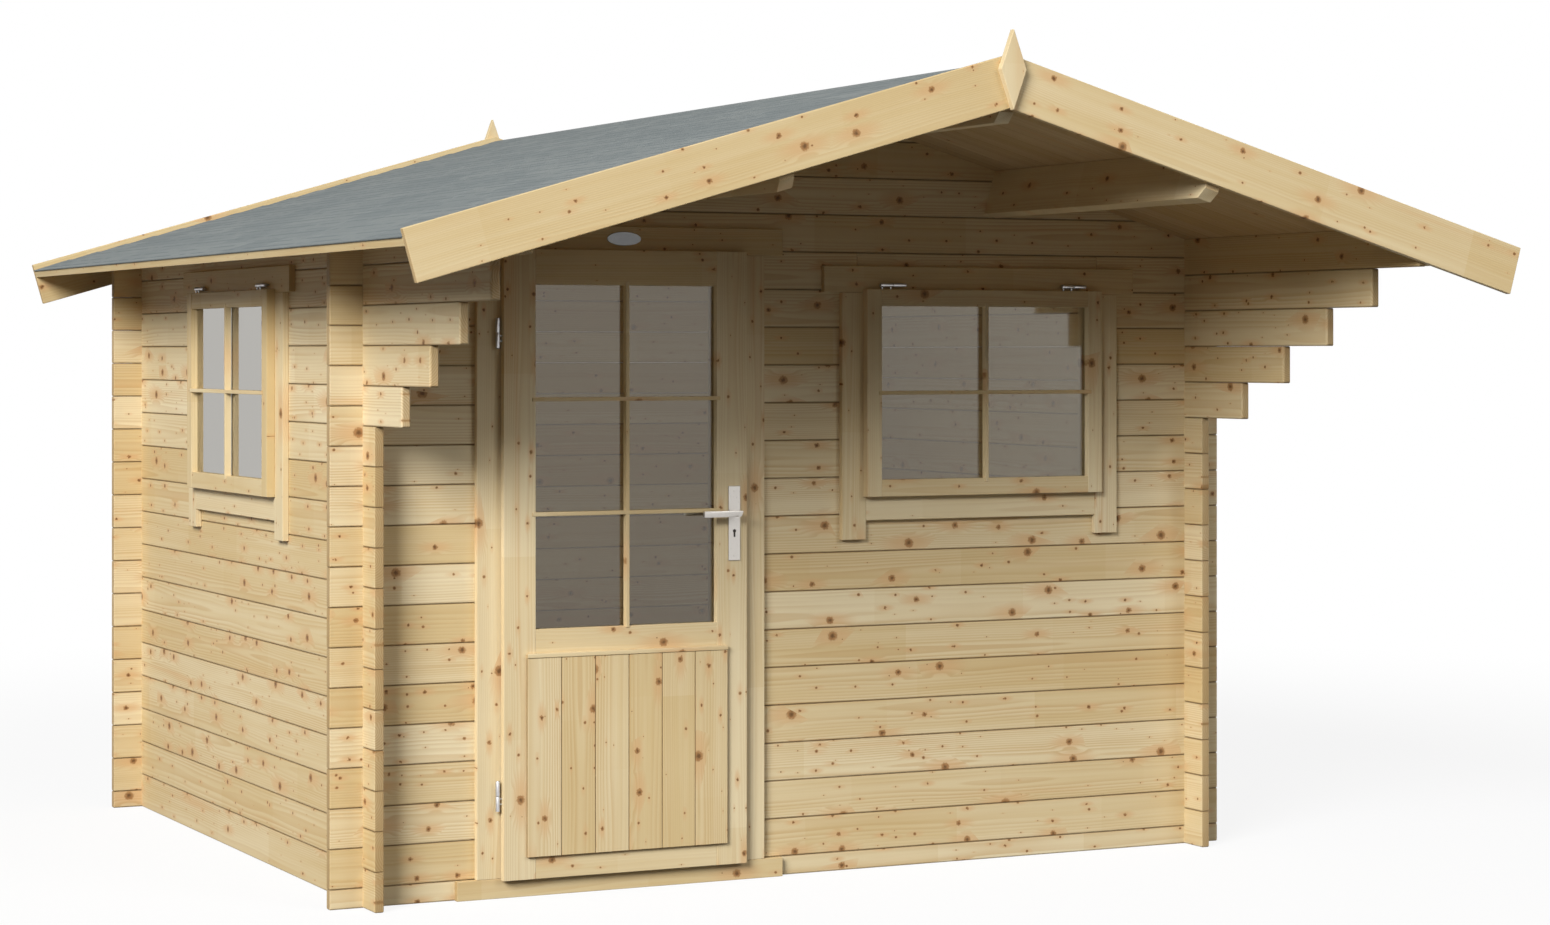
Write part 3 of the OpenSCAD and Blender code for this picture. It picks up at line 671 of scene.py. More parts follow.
@dataclass
class LogWalls:
    """Courses of logs, notched over each other at the corners."""

    finishes: Finishes
    groove: float = 0.0042
    end_ease: float = 0.0022
    corbel_ease: float = 0.005
    hair: float = 0.0004

    def __post_init__(self) -> None:
        """Reads the wall sizes from the frame."""
        self.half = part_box("front_sill_log")[1].z
        self.pitch = 2 * self.half
        self.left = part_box("left_wall")
        self.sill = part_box("front_sill_log")
        self.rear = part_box("rear_wall")
        self.courses = round(self.left[1].z / self.pitch)
        self.gable_z = self.half + (self.courses - 1) * self.pitch
        self.gable_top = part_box("front_gable")[1].z
        self.front = self.sill[0].y
        self.corner = self.left[1].y - self.rear[1].y
        self.under = self._roof_planes()

    def _roof_planes(self) -> list[Cut]:
        """The two planes just under the roof boards."""
        pitch = Roof.pitch_angle()
        point = Vector((0, 0, Roof.ridge_height() - Roof.air))
        return [Cut(point, Vector((side * math.sin(pitch), 0, math.cos(pitch))))
                for side in (-1, 1)]

    def _row(self, bench: Bench, x0: float, x1: float, y0: float, z0: float, z1: float,
             holes: Iterable[tuple[float, float, float, float]] = (),
             cuts: Iterable[Cut] = ()) -> None:
        """Adds one course along X, broken by holes."""
        thick = self.sill[1].y - self.sill[0].y
        spans = [(x0, x1, z0, z1)]
        for h0, h1, low, high in holes:
            split = []
            for a, b, p, q in spans:
                if high <= p + 0.002 or low >= q - 0.002 or h1 <= a or h0 >= b:
                    split.append((a, b, p, q))
                    continue
                if h0 > a:
                    split.append((a, h0, p, q))
                if h1 < b:
                    split.append((h1, b, p, q))
                if low - p > 0.004:
                    split.append((h0, h1, p, low))
                if q - high > 0.004:
                    split.append((h0, h1, high, q))
            spans = split
        for n, (a, b, p, q) in enumerate(spans):
            bench.plank((a, y0, p + self.hair), (b, y0 + thick, q), Way.ALONG_X, self.groove,
                        self.end_ease, cuts=cuts, twin=n > 0, seam=1.0)

    def _file(self, bench: Bench, y0: float, y1: float, x0: float, z0: float, z1: float,
              end: float, holes: Iterable[tuple[float, float, float, float]] = (),
              cuts: Iterable[Cut] = ()) -> None:
        """Adds one course along Y, broken by holes."""
        thick = self.left[1].x - self.left[0].x
        spans = [(y0, y1, z0, z1)]
        for h0, h1, low, high in holes:
            split = []
            for a, b, p, q in spans:
                if high <= p + 0.002 or low >= q - 0.002:
                    split.append((a, b, p, q))
                    continue
                split += [(a, h0, p, q), (h1, b, p, q)]
                if low - p > 0.004:
                    split.append((h0, h1, p, low))
                if q - high > 0.004:
                    split.append((h0, h1, high, q))
            spans = split
        for n, (a, b, p, q) in enumerate(spans):
            bench.plank((x0, a, p + self.hair), (x0 + thick, b, q), Way.ALONG_Y, self.groove,
                        end, cuts=cuts, twin=n > 0, seam=1.0)

    def side(self, name: str, seed: int, holes: Iterable[tuple[float, float, float, float]]
             ) -> None:
        """Builds one side wall with its stepped courses."""
        low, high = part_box(name)
        bench = Bench(name + "_logs", seed)
        step_front = low.y
        plain_front = self.front - self.corner
        corbels = 5
        first = self.courses - corbels
        step = (plain_front - step_front) / corbels
        for k in range(self.courses):
            stepped = max(0, k - first + 1)
            top = (k + 1) * self.pitch
            if k == self.courses - 1:
                top += self.groove
            self._file(bench, plain_front - stepped * step, high.y, low.x, k * self.pitch, top,
                       self.corbel_ease if stepped else self.end_ease, holes,
                       self.under if k == self.courses - 1 else ())
        bench.finish("cabin", self.finishes.logs, [name])

    def build(self) -> None:
        """Builds every wall."""
        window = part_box("front_window_frame")
        side_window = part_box("left_window_frame")
        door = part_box("door_frame")
        self.side("left_wall", 11, [(side_window[0].y, side_window[1].y, side_window[0].z,
                                     side_window[1].z)])
        self.side("right_wall", 23, [])
        hole = (window[0].x, window[1].x, window[0].z, window[1].z)
        x0, x1 = self.sill[0].x, self.sill[1].x
        sill = Bench("front_sill", 31)
        self._row(sill, x0, x1, self.front, 0.0, self.half)
        sill.finish("cabin", self.finishes.logs, ["front_sill_log"])
        left = Bench("front_logs_left", 37)
        right = Bench("front_logs_right", 41)
        for k in range(self.courses - 1):
            z0 = self.half + k * self.pitch
            self._row(left, x0, door[0].x, self.front, z0, z0 + self.pitch)
            self._row(right, door[1].x, x1, self.front, z0, z0 + self.pitch, [hole])
        left.finish("cabin", self.finishes.logs, ["front_wall_left"])
        right.finish("cabin", self.finishes.logs, ["front_wall_right"])
        back = Bench("rear_logs", 43)
        self._row(back, x0, x1, self.rear[0].y, 0.0, self.half)
        for k in range(self.courses - 1):
            z0 = self.half + k * self.pitch
            self._row(back, x0, x1, self.rear[0].y, z0, z0 + self.pitch)
        back.finish("cabin", self.finishes.logs, ["rear_wall"])
        for name, y0, seed in (("front_gable", self.front, 47),
                               ("rear_gable", self.rear[0].y, 53)):
            gable = Bench(name + "_logs", seed)
            rows = math.ceil((self.gable_top - self.gable_z) / self.pitch)
            for k in range(rows):
                z0 = self.gable_z + k * self.pitch
                self._row(gable, x0, x1, y0, z0, z0 + self.pitch, cuts=self.under)
            gable.finish("cabin", self.finishes.logs, [name])


@dataclass
class Roof:
    """Boards, felt, purlins, bargeboards and finials."""

    finishes: Finishes
    air: ClassVar[float] = 0.0004
    board_width: float = 0.0875
    board_thick: float = 0.018
    lath_thick: float = 0.015
    barge_rise: float = 0.041
    barge_deep: float = 0.140
    purlin_out: float = 0.692
    purlin_half: float = 0.0225
    purlin_deep: float = 0.1403
    tab_rows: int = 17
    tab_width: float = 0.306

    @staticmethod
    def pitch_angle() -> float:
        """Slope of the roof, read from a side purlin's lean."""
        low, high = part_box("left_purlin")
        wide, tall = high.x - low.x, high.z - low.z
        ridge_low, ridge_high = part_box("ridge_purlin")
        width = ridge_high.x - ridge_low.x
        best, angle = 9.0, 0.0
        for n in range(50, 350):
            a = math.radians(n / 10)
            height = (tall - width * math.sin(a)) / math.cos(a)
            miss = abs(wide - width * math.cos(a) - height * math.sin(a))
            if miss < best:
                best, angle = miss, a
        return angle

    @staticmethod
    def ridge_height() -> float:
        """Height of the roof boards' underside at the ridge line."""
        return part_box("ridge_purlin")[1].z

    def __post_init__(self) -> None:
        """Reads the roof's sizes."""
        self.pitch = self.pitch_angle()
        self.ridge = self.ridge_height()
        low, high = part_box("roof_boards_right")
        self.front, self.rear = low.y, high.y
        self.half_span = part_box("front_bargeboards")[1].x

    def slope(self, side: int) -> Matrix:
        """Frame of one slope: x down it, y to the rear, z square to it."""
        turn = Matrix.Rotation(self.pitch, 4, "Y")
        frame_at = Matrix.Translation((0, 0, self.ridge)) @ turn
        return frame_at if side > 0 else Matrix.Scale(-1, 4, (1, 0, 0)) @ frame_at

    def build(self) -> None:
        """Builds the whole roof."""
        cos, tan = math.cos(self.pitch), math.tan(self.pitch)
        rise, barge_deep = self.barge_rise, self.barge_deep
        length = self.half_span / cos - rise * tan
        thick, lath = self.board_thick, self.lath_thick
        middle = {side: Cut(Vector((0, 0, 0)), Vector((-side, 0, 0))) for side in (-1, 1)}
        for side, word in ((-1, "left"), (1, "right")):
            place = self.slope(side)
            deck = Bench("roof_planks_" + word, 61 + side)
            count = round((self.rear - self.front) / self.board_width)
            wide = (self.rear - self.front) / count
            for k in range(count):
                y0 = self.front + k * wide
                deck.plank((-0.02, y0 + 0.0002, 0), (length - lath, y0 + wide - 0.0002, thick),
                           Way.FLAT_X, 0.0016, 0.0, place=place, cuts=[middle[side]], seam=0.8)
            deck.finish("cabin", self.finishes.soffit, ["roof_boards_" + word])
            self._felt(side, word, place, length, thick, middle[side])
            edge = Bench("eave_strip_" + word, 71 + side)
            edge.plank((length - lath, self.front, -0.004), (length, self.rear, thick),
                       Way.ALONG_Y, 0.0012, 0.001, place=place)
            edge.finish("cabin", self.finishes.boards, ["eave_lath_" + word])
            purlin = Bench("purlin_" + word, 79 + side)
            low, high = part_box(word + "_purlin")
            centre, wide = self.purlin_out / cos, self.purlin_half
            chamfer = Cut(place @ Vector((centre, self.front + 0.0145, -0.1265)),
                          place.to_3x3() @ Vector((0, -1, -1)).normalized())
            purlin.plank((centre - wide, low.y, -self.purlin_deep),
                         (centre + wide, high.y, -0.0003), Way.ALONG_Y, 0.002, 0.001,
                         place=place, cuts=[chamfer])
            purlin.finish("cabin", self.finishes.boards, [word + "_purlin"])
        low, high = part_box("ridge_purlin")
        ridge = Bench("purlin_ridge", 83)
        chamfer = Cut(Vector((0, low.y + 0.014, low.z + 0.014)),
                      Vector((0, -1, -1)).normalized())
        roof = [Cut(Vector((0, 0, self.ridge - self.air)),
                    Vector((s * math.sin(self.pitch), 0, cos))) for s in (-1, 1)]
        ridge.plank((low.x, low.y, low.z), (high.x, high.y, high.z), Way.ALONG_Y, 0.002, 0.001,
                    cuts=[chamfer, *roof])
        ridge.finish("cabin", self.finishes.boards, ["ridge_purlin"])
        for word, seed in (("front", 89), ("rear", 97)):
            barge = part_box(word + "_bargeboards")
            pair = Bench(word + "_barges", seed)
            for side in (-1, 1):
                pair.plank((-0.10, barge[0].y, rise - barge_deep),
                           (length, barge[1].y, rise), Way.ALONG_X, 0.0022, 0.0016,
                           place=self.slope(side), cuts=[middle[side]])
            pair.finish("cabin", self.finishes.boards, [word + "_bargeboards"])
            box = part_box(word + "_finial")
            mid = (box[0].z + box[1].z) / 2
            tip = Bench(word + "_point", seed + 1)
            tip.slab([(box[0].x, mid), (0, box[0].z), (box[1].x, mid), (0, box[1].z)],
                     box[0].y, box[1].y, 0.0016, 0.35)
            tip.finish("cabin", self.finishes.boards, [word + "_finial"])

    def _felt(self, side: int, word: str, place: Matrix, length: float, thick: float,
              middle: Cut) -> None:
        """Lays rows of felt tabs from the eave up, each lapping the row below."""
        bench = Bench("felt_tabs_" + word, 101 + side)
        base = thick + 0.0003
        bench.plank((-0.02, self.front, base), (length + 0.003, self.rear, base + 0.0012),
                    Way.FLAT_X, 0.0, 0.0, place=place, cuts=[middle], tone=0.1)
        gauge = (length + 0.004) / self.tab_rows
        count = round((self.rear - self.front) / self.tab_width)
        wide = (self.rear - self.front) / count
        for row in range(self.tab_rows):
            low_end = length + 0.004 - row * gauge
            high_end = low_end - gauge * 1.22
            offset = (row % 2) * wide / 2 + bench.chance.uniform(-0.01, 0.01)
            tilt = Matrix.Translation((low_end, 0, base + 0.0012)) @ Matrix.Rotation(
                math.atan2(0.0030, gauge), 4, "Y") @ Matrix.Translation(
                (-low_end, 0, -base - 0.0012))
            for k in range(-1, count + 1):
                y0 = max(self.front, self.front + k * wide + offset)
                y1 = min(self.rear, self.front + (k + 1) * wide + offset)
                if y1 - y0 < 0.02:
                    continue
                bench.plank((high_end, y0 + 0.0025, base + 0.0012),
                            (low_end, y1 - 0.0025, base + 0.0012 + 0.0028), Way.FLAT_X, 0.0006,
                            0.0, 1, place=place @ tilt, cuts=[middle])
        bench.finish("cabin", self.finishes.felt, ["roof_cover_" + word])


@dataclass
class Floor:
    """Joists and floor boards inside the walls."""

    finishes: Finishes
    board_width: float = 0.0880

    def build(self) -> None:
        """Builds the floor."""
        low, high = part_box("floor_boards")
        deck = Bench("floor_planks", 111)
        count = round((high.y - low.y) / self.board_width)
        wide = (high.y - low.y) / count
        for k in range(count):
            deck.plank((low.x, low.y + k * wide + 0.0003, low.z),
                       (high.x, low.y + (k + 1) * wide - 0.0003, high.z), Way.FLAT_X, 0.001,
                       0.0)
        deck.finish("cabin", self.finishes.boards, ["floor_boards"])
        low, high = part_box("floor_joists")
        beams = Bench("joists", 113)
        width, count = 0.060, 5
        gap = (high.x - low.x - width) / (count - 1)
        for k in range(count):
            beams.plank((low.x + k * gap, low.y, low.z), (low.x + k * gap + width, high.y, high.z),
                        Way.ALONG_Y, 0.002, 0.001)
        beams.finish("cabin", self.finishes.boards, ["floor_joists"])


@dataclass
class Joinery:
    """Shared work on the doorway and the windows."""

    finishes: Finishes
    bar: float = 0.0115
    bar_lap: float = 0.011


@dataclass
class Window(Joinery):
    """A top-hung window, fixed shut, with a cross of glazing bars."""

    prefix: str = "front_window"
    seed: int = 131
    stile: float = 0.051
    lip_deep: float = 0.0268
    body_inset: float = 0.012
    lining: float = 0.020
    casing_out: float = 0.072
    lap: float = 0.010
    hinge_radius: float = 0.0065
    hinge_length: float = 0.087

    def _place(self) -> tuple[Matrix, tuple[Vector, Vector]]:
        """Frame with the window's outer face towards -Y, and its sash box in that frame."""
        low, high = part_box(self.prefix + "_sash")
        if high.x - low.x > high.y - low.y:
            return Matrix.Identity(4), (low, high)
        mid = (low.y + high.y) / 2
        turn = Matrix.Translation((0, mid, 0)) @ Matrix.Rotation(math.radians(-90), 4, "Z")
        back = turn.inverted()
        a, b = back @ low, back @ high
        return turn, (Vector((min(a.x, b.x), min(a.y, b.y), low.z)),
                      Vector((max(a.x, b.x), max(a.y, b.y), high.z)))

    def _local(self, node: str, place: Matrix) -> tuple[Vector, Vector]:
        """Box of a CAD node in the window's own frame."""
        low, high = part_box(node)
        back = place.inverted()
        a, b = back @ low, back @ high
        return (Vector((min(a.x, b.x), min(a.y, b.y), low.z)),
                Vector((max(a.x, b.x), max(a.y, b.y), high.z)))

    def build(self) -> None:
        """Builds lining, trim, sash, bars and hinges."""
        place, (low, high) = self._place()
        stile, inset = self.stile, self.body_inset
        lip_back = low.y + self.lip_deep
        sash = Bench(self.prefix + "_stiles", self.seed)
        sash_parts = [
            ((low.x, low.y, low.z), (low.x + stile, lip_back, high.z), Way.UPRIGHT),
            ((high.x - stile, low.y, low.z), (high.x, lip_back, high.z), Way.UPRIGHT),
            ((low.x + stile, low.y + 0.0005, low.z), (high.x - stile, lip_back, low.z + stile),
             Way.ALONG_X),
            ((low.x + stile, low.y + 0.0005, high.z - stile), (high.x - stile, lip_back, high.z),
             Way.ALONG_X)]
        for a, b, way in sash_parts:
            sash.plank(a, b, way, 0.0018, 0.0008, place=place)
            inner_a = [max(a[0], low.x + inset), lip_back, max(a[2], low.z + inset)]
            inner_b = [min(b[0], high.x - inset), high.y, min(b[2], high.z - inset)]
            sash.plank(inner_a, inner_b, way, 0.001, 0.0006, place=place, twin=True)
        sash.finish("cabin", self.finishes.boards, [self.prefix + "_sash"])

        bars = Bench(self.prefix + "_bars", self.seed + 1)
        mid_x, mid_z = (low.x + high.x) / 2, (low.z + high.z) / 2
        front = low.y - 0.003
        bars.plank((mid_x - self.bar / 2, front + 0.0006, low.z + stile - self.bar_lap),
                   (mid_x + self.bar / 2, low.y + 0.018, high.z - stile + self.bar_lap),
                   Way.UPRIGHT, 0.0014, 0.0008, place=place)
        bars.plank((low.x + stile - self.bar_lap, front, mid_z - self.bar / 2),
                   (high.x - stile + self.bar_lap, low.y + 0.018, mid_z + self.bar / 2),
                   Way.ALONG_X, 0.0014, 0.0008, place=place)
        bars.finish("cabin", self.finishes.boards, [])

        a, b = self._local(self.prefix + "_frame", place)
        lining = Bench(self.prefix + "_lining", self.seed + 2)
        t = self.lining
        for x0, x1 in ((a.x, a.x + t), (b.x - t, b.x)):
            lining.plank((x0, a.y, a.z), (x1, b.y, b.z), Way.UPRIGHT, 0.001, 0.0006,
                         place=place)
        for z0, z1 in ((a.z, a.z + t), (b.z - t, b.z)):
            lining.plank((a.x + t, a.y, z0), (b.x - t, b.y, z1), Way.ALONG_X, 0.001, 0.0006,
                         place=place)
        lining.finish("cabin", self.finishes.boards,
                      [self.prefix + "_frame"])

        a, b = self._local(self.prefix + "_trim", place)
        trim = Bench(self.prefix + "_casing", self.seed + 3)
        out, lap = self.casing_out, self.lap
        head_z = high.z - lap
        trim.plank((a.x, a.y, head_z), (b.x, b.y, b.z), Way.ALONG_X, 0.0018, 0.0012,
                   place=place)
        for x0, x1 in ((low.x - out, low.x + lap), (high.x - lap, high.x + out)):
            trim.plank((x0, a.y, a.z), (x1, b.y, head_z - 0.0006), Way.UPRIGHT, 0.0018, 0.0012,
                       place=place)
        trim.plank((low.x + 0.0104, a.y + 0.0005, low.z - out),
                   (high.x - 0.0104, b.y, low.z + lap), Way.ALONG_X, 0.0018, 0.0008,
                   place=place)
        trim.finish("cabin", self.finishes.boards, [self.prefix + "_trim"])

        a, b = self._local(self.prefix + "_hinges", place)
        radius = self.hinge_radius
        axis_y, axis_z = a.y + radius, b.z - radius
        barrel = self.hinge_length
        hinges = Bench(self.prefix + "_hinge_barrels", self.seed + 4)
        for x0 in (a.x, b.x - barrel):
            split = x0 + barrel / 2
            for p, q in ((x0, split - 0.0006), (split + 0.0006, x0 + barrel)):
                hinges.rod(place @ Vector((p, axis_y, axis_z)),
                           place @ Vector((q, axis_y, axis_z)), radius, 28, 0.0009)
            hinges.rod(place @ Vector((split - 0.001, axis_y, axis_z)),
                       place @ Vector((split + 0.001, axis_y, axis_z)), radius * 0.6, 20, 0)
            for x in (x0 + 0.006, split - 0.008):
                hinges.rod(place @ Vector((x, axis_y, axis_z)),
                           place @ Vector((x, axis_y, high.z - 0.008)), 0.0028, 16, 0)
            for x in (split + 0.008, x0 + barrel - 0.006):
                hinges.rod(place @ Vector((x, axis_y, axis_z)),
                           place @ Vector((x, axis_y + 0.012, axis_z)), 0.0028, 16, 0)
        hinges.finish("cabin", self.finishes.zinc, [self.prefix + "_hinges"],
                      smooth=True)
        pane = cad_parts[self.prefix + "_glass"]
        pane.data.materials.clear()
        side = self.prefix.startswith("left")
        pane.data.materials.append(self.finishes.side_glass if side else self.finishes.glass)


@dataclass
class Doorway(Joinery):
    """Lining, trims, leaf, lower panel, hinges and handle."""

    lining: float = 0.020
    lap: float = 0.010
    lip_deep: float = 0.022
    inset_left: float = 0.016
    inset_right: float = 0.019
    inset_foot: float = 0.0198
    inset_crown: float = 0.016
    bottom_rail: float = 0.096
    middle_rail: float = 0.100
    glass_bite: float = 0.008
    panel_boards: int = 6
    panel_cap: float = 0.012
    hinge_radius: float = 0.0065
    hinge_length: float = 0.087
    plate_thick: float = 0.005
    keyhole_drop: float = 0.058

    def build(self) -> None:
        """Builds the fixed and the moving parts."""
        self._surround()
        self._leaf()
        self._hinges()
        self._handle()

    def _surround(self) -> None:
        """Builds lining, trims, threshold and plaque."""
        low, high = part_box("door_frame")
        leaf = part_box("door_leaf")
        lining = Bench("door_lining", 151)
        t = self.lining
        for x0, x1 in ((low.x, low.x + t), (high.x - t, high.x)):
            lining.plank((x0, low.y, low.z), (x1, high.y, high.z), Way.UPRIGHT, 0.001, 0.0006)
        lining.plank((low.x + t, low.y, low.z), (high.x - t, high.y, low.z + 0.010), Way.ALONG_X,
                     0.001, 0.0006)
        lining.plank((low.x + t, low.y, leaf[1].z - self.lap), (high.x - t, high.y, high.z),
                     Way.ALONG_X, 0.001, 0.0006)
        lining.finish("cabin", self.finishes.boards, ["door_frame"])
        low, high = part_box("door_side_trims")
        sides = Bench("door_casing_sides", 157)
        for x0, x1 in ((low.x, leaf[0].x + self.lap), (leaf[1].x - self.lap, high.x)):
            sides.plank((x0, low.y, low.z), (x1, high.y, high.z), Way.UPRIGHT, 0.0018, 0.001)
        sides.finish("cabin", self.finishes.boards, ["door_side_trims"])
        for node, name, seed in (("door_head_trim", "door_casing_head", 163),
                                 ("door_threshold", "door_step_board", 167)):
            low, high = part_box(node)
            bench = Bench(name, seed)
            bench.plank(low, high, Way.ALONG_X, 0.0018, 0.0012)
            bench.finish("cabin", self.finishes.boards, [node])
        low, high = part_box("door_plaque")
        mid = (low + high) / 2
        wide, tall = (high.x - low.x) / 2, (high.z - low.z) / 2
        plaque = Bench("blank_plaque", 173)
        turns = [2 * math.pi * n / 48 for n in range(48)]
        plaque.slab([(mid.x + wide * math.cos(a), mid.z + tall * math.sin(a)) for a in turns],
                    low.y, high.y, 0.0008)
        plaque.finish("cabin", self.finishes.plaque, ["door_plaque"])

    def _leaf(self) -> None:
        """Builds stiles, rails, boarded panel and glazing bars."""
        low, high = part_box("door_leaf")
        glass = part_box("door_glass")
        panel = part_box("door_panel")
        bite = self.glass_bite
        open_low, open_high = glass[0].x + bite, glass[1].x - bite
        glass_low, glass_high = glass[0].z + bite, glass[1].z - bite
        lip = low.y + self.lip_deep
        rail_top = low.z + self.bottom_rail
        mid_low = glass_low - self.middle_rail
        leaf = Bench("door_stiles_rails", 181)
        parts = [
            ((low.x, low.z), (open_low, high.z), Way.UPRIGHT),
            ((open_high, low.z), (high.x, high.z), Way.UPRIGHT),
            ((open_low, low.z), (open_high, rail_top), Way.ALONG_X),
            ((open_low, mid_low), (open_high, glass_low), Way.ALONG_X),
            ((open_low, glass_high), (open_high, high.z), Way.ALONG_X)]
        for n, ((x0, z0), (x1, z1), way) in enumerate(parts):
            front = low.y if n < 2 else low.y + 0.0005
            leaf.plank((x0, front, z0), (x1, lip, z1), way, 0.0016, 0.0008)
            leaf.plank((max(x0, low.x + self.inset_left), lip,
                        max(z0, low.z + self.inset_foot)),
                       (min(x1, high.x - self.inset_right), high.y,
                        min(z1, high.z - self.inset_crown)),
                       way, 0.001, 0.0006, twin=True)
        leaf.finish("door", self.finishes.boards, ["door_leaf"])

        boards = Bench("door_panel_boards", 191)
        count = self.panel_boards
        wide = (panel[1].x - panel[0].x) / count
        cap = self.panel_cap
        for k in range(count):
            boards.plank((panel[0].x + k * wide + 0.0003, panel[0].y + 0.003, panel[0].z),
                         (panel[0].x + (k + 1) * wide - 0.0003, panel[1].y,
                          panel[1].z - cap), Way.UPRIGHT, 0.0024, 0.0012, seam=0.9)
        boards.plank((panel[0].x, panel[0].y, panel[1].z - cap), panel[1], Way.ALONG_X, 0.0016,
                     0.001)
        boards.finish("door", self.finishes.logs, ["door_panel"])

        bars = Bench("door_glazing_bars", 193)
        mid = (open_low + open_high) / 2
        half = self.bar / 2
        front = low.y - 0.003
        bars.plank((mid - half, front + 0.0006, glass_low - self.bar_lap * 0.4),
                   (mid + half, low.y + 0.018, glass_high + self.bar_lap), Way.UPRIGHT,
                   0.0014, 0.0008)
        for n in (1, 2):
            z = glass_low + n * (glass_high - glass_low) / 3
            bars.plank((open_low - self.bar_lap, front, z - half),
                       (open_high + self.bar_lap, low.y + 0.018, z + half), Way.ALONG_X,
                       0.0014, 0.0008)
        bars.finish("door", self.finishes.boards, [])
        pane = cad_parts["door_glass"]
        pane.data.materials.clear()
        pane.data.materials.append(self.finishes.glass)

    def _hinges(self) -> None:
        """Builds the two halves of each door hinge on their own bodies."""
        low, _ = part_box("door_hinge_pins")
        radius = self.hinge_radius
        x, y = low.x + radius, low.y + radius
        length = self.hinge_length
        middles = (low.z + length / 2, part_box("door_hinge_sockets")[1].z - length / 2)
        upper = Bench("door_hinge_upper_halves", 197)
        lower = Bench("door_hinge_lower_halves", 199)
        for z in middles:
            upper.rod((x, y, z + 0.0008), (x, y, z + length / 2), radius, 28, 0.0009)
            for up in (0.0195, 0.0305):
                upper.rod((x, y, z + up), (x, y + 0.020, z + up), 0.0025, 16, 0)
            lower.rod((x, y, z - length / 2), (x, y, z - 0.0004), radius, 28, 0.0009)
            for up in (-0.0227, -0.0075):
                lower.rod((x, y, z + up), (x + 0.026, y, z + up), 0.0025, 16, 0)
        upper.finish("cabin", self.finishes.zinc, ["door_hinge_sockets"],
                     smooth=True)
        lower.finish("door", self.finishes.zinc, ["door_hinge_pins"],
                     smooth=True)

    def _handle(self) -> None:
        """Builds the plates with their keyholes and screws, and the two levers."""
        low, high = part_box("door_handle_plates")
        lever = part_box("door_lever")
        axis_x = (low.x + high.x) / 2
        axis_z = (lever[0].z + lever[1].z) / 2
        thick = self.plate_thick
        key_z = axis_z - self.keyhole_drop
        plates = Bench("handle_backplates", 211)
        holes = Bench("keyhole_shade_slabs", 223)
        faces = ((low.y, low.y + thick, low.y, -1), (high.y - thick, high.y, high.y, 1))
        for y0, y1, face, out in faces:
            plates.plank((low.x, y0, low.z), (high.x, y1, high.z), Way.UPRIGHT, 0.0012, 0.0012)
            for z in (low.z + 0.014, high.z - 0.014):
                plates.rod((axis_x, face - out * 0.002, z), (axis_x, face + out * 0.0010, z),
                           0.0036, 20, 0.0005)
            plates.rod((axis_x, face - out * 0.002, axis_z), (axis_x, face + out * 0.003, axis_z),
                       0.0105, 32, 0.0008)
            # Each keyhole is a dark slab on the plate: painted shade inside the hole.
            ends = sorted((face - out * 0.001, face + out * 0.0003))
            turns = [math.radians(a) for a in range(-55, 236, 15)]
            outline = [(axis_x + 0.0052 * math.cos(a), key_z + 0.006 + 0.0052 * math.sin(a))
                       for a in turns]
            outline += [(axis_x - 0.0028, key_z - 0.012), (axis_x + 0.0028, key_z - 0.012)]
            holes.slab(outline, ends[0], ends[1], 0.0)
        plates.finish("door", self.finishes.steel, ["door_handle_plates"])
        holes.finish("door", self.finishes.hollow, [])
        levers = Bench("lever_pair", 227)
        reach = 0.0095
        length = axis_x - lever[0].x
        for tip, root in ((lever[0].y, low.y), (lever[1].y, high.y)):
            out = -1 if tip < root else 1
            neck = tip - out * 0.006
            levers.rod((axis_x, root + out * 0.001, axis_z), (axis_x, neck, axis_z), 0.0088, 32,
                       0.0004)
            near, far = sorted((tip, tip - out * 0.012))
            outline = [(axis_x + 0.009, axis_z + reach), (axis_x - length, axis_z + reach),
                       (axis_x - length, axis_z - reach * 0.92)]
            outline += [
                (axis_x - 0.052, axis_z - reach * 0.95), (axis_x - 0.030, axis_z - reach * 0.82),
                (axis_x - 0.010, axis_z - reach * 0.50), (axis_x + 0.004, axis_z - reach * 0.10),
                (axis_x + 0.009, axis_z + reach * 0.25)]
            levers.slab(outline, near, far, 0.0016)
        levers.finish("handle", self.finishes.steel, ["door_lever"],
                      smooth=True)


# -------------------------------------------------------------------- the stage


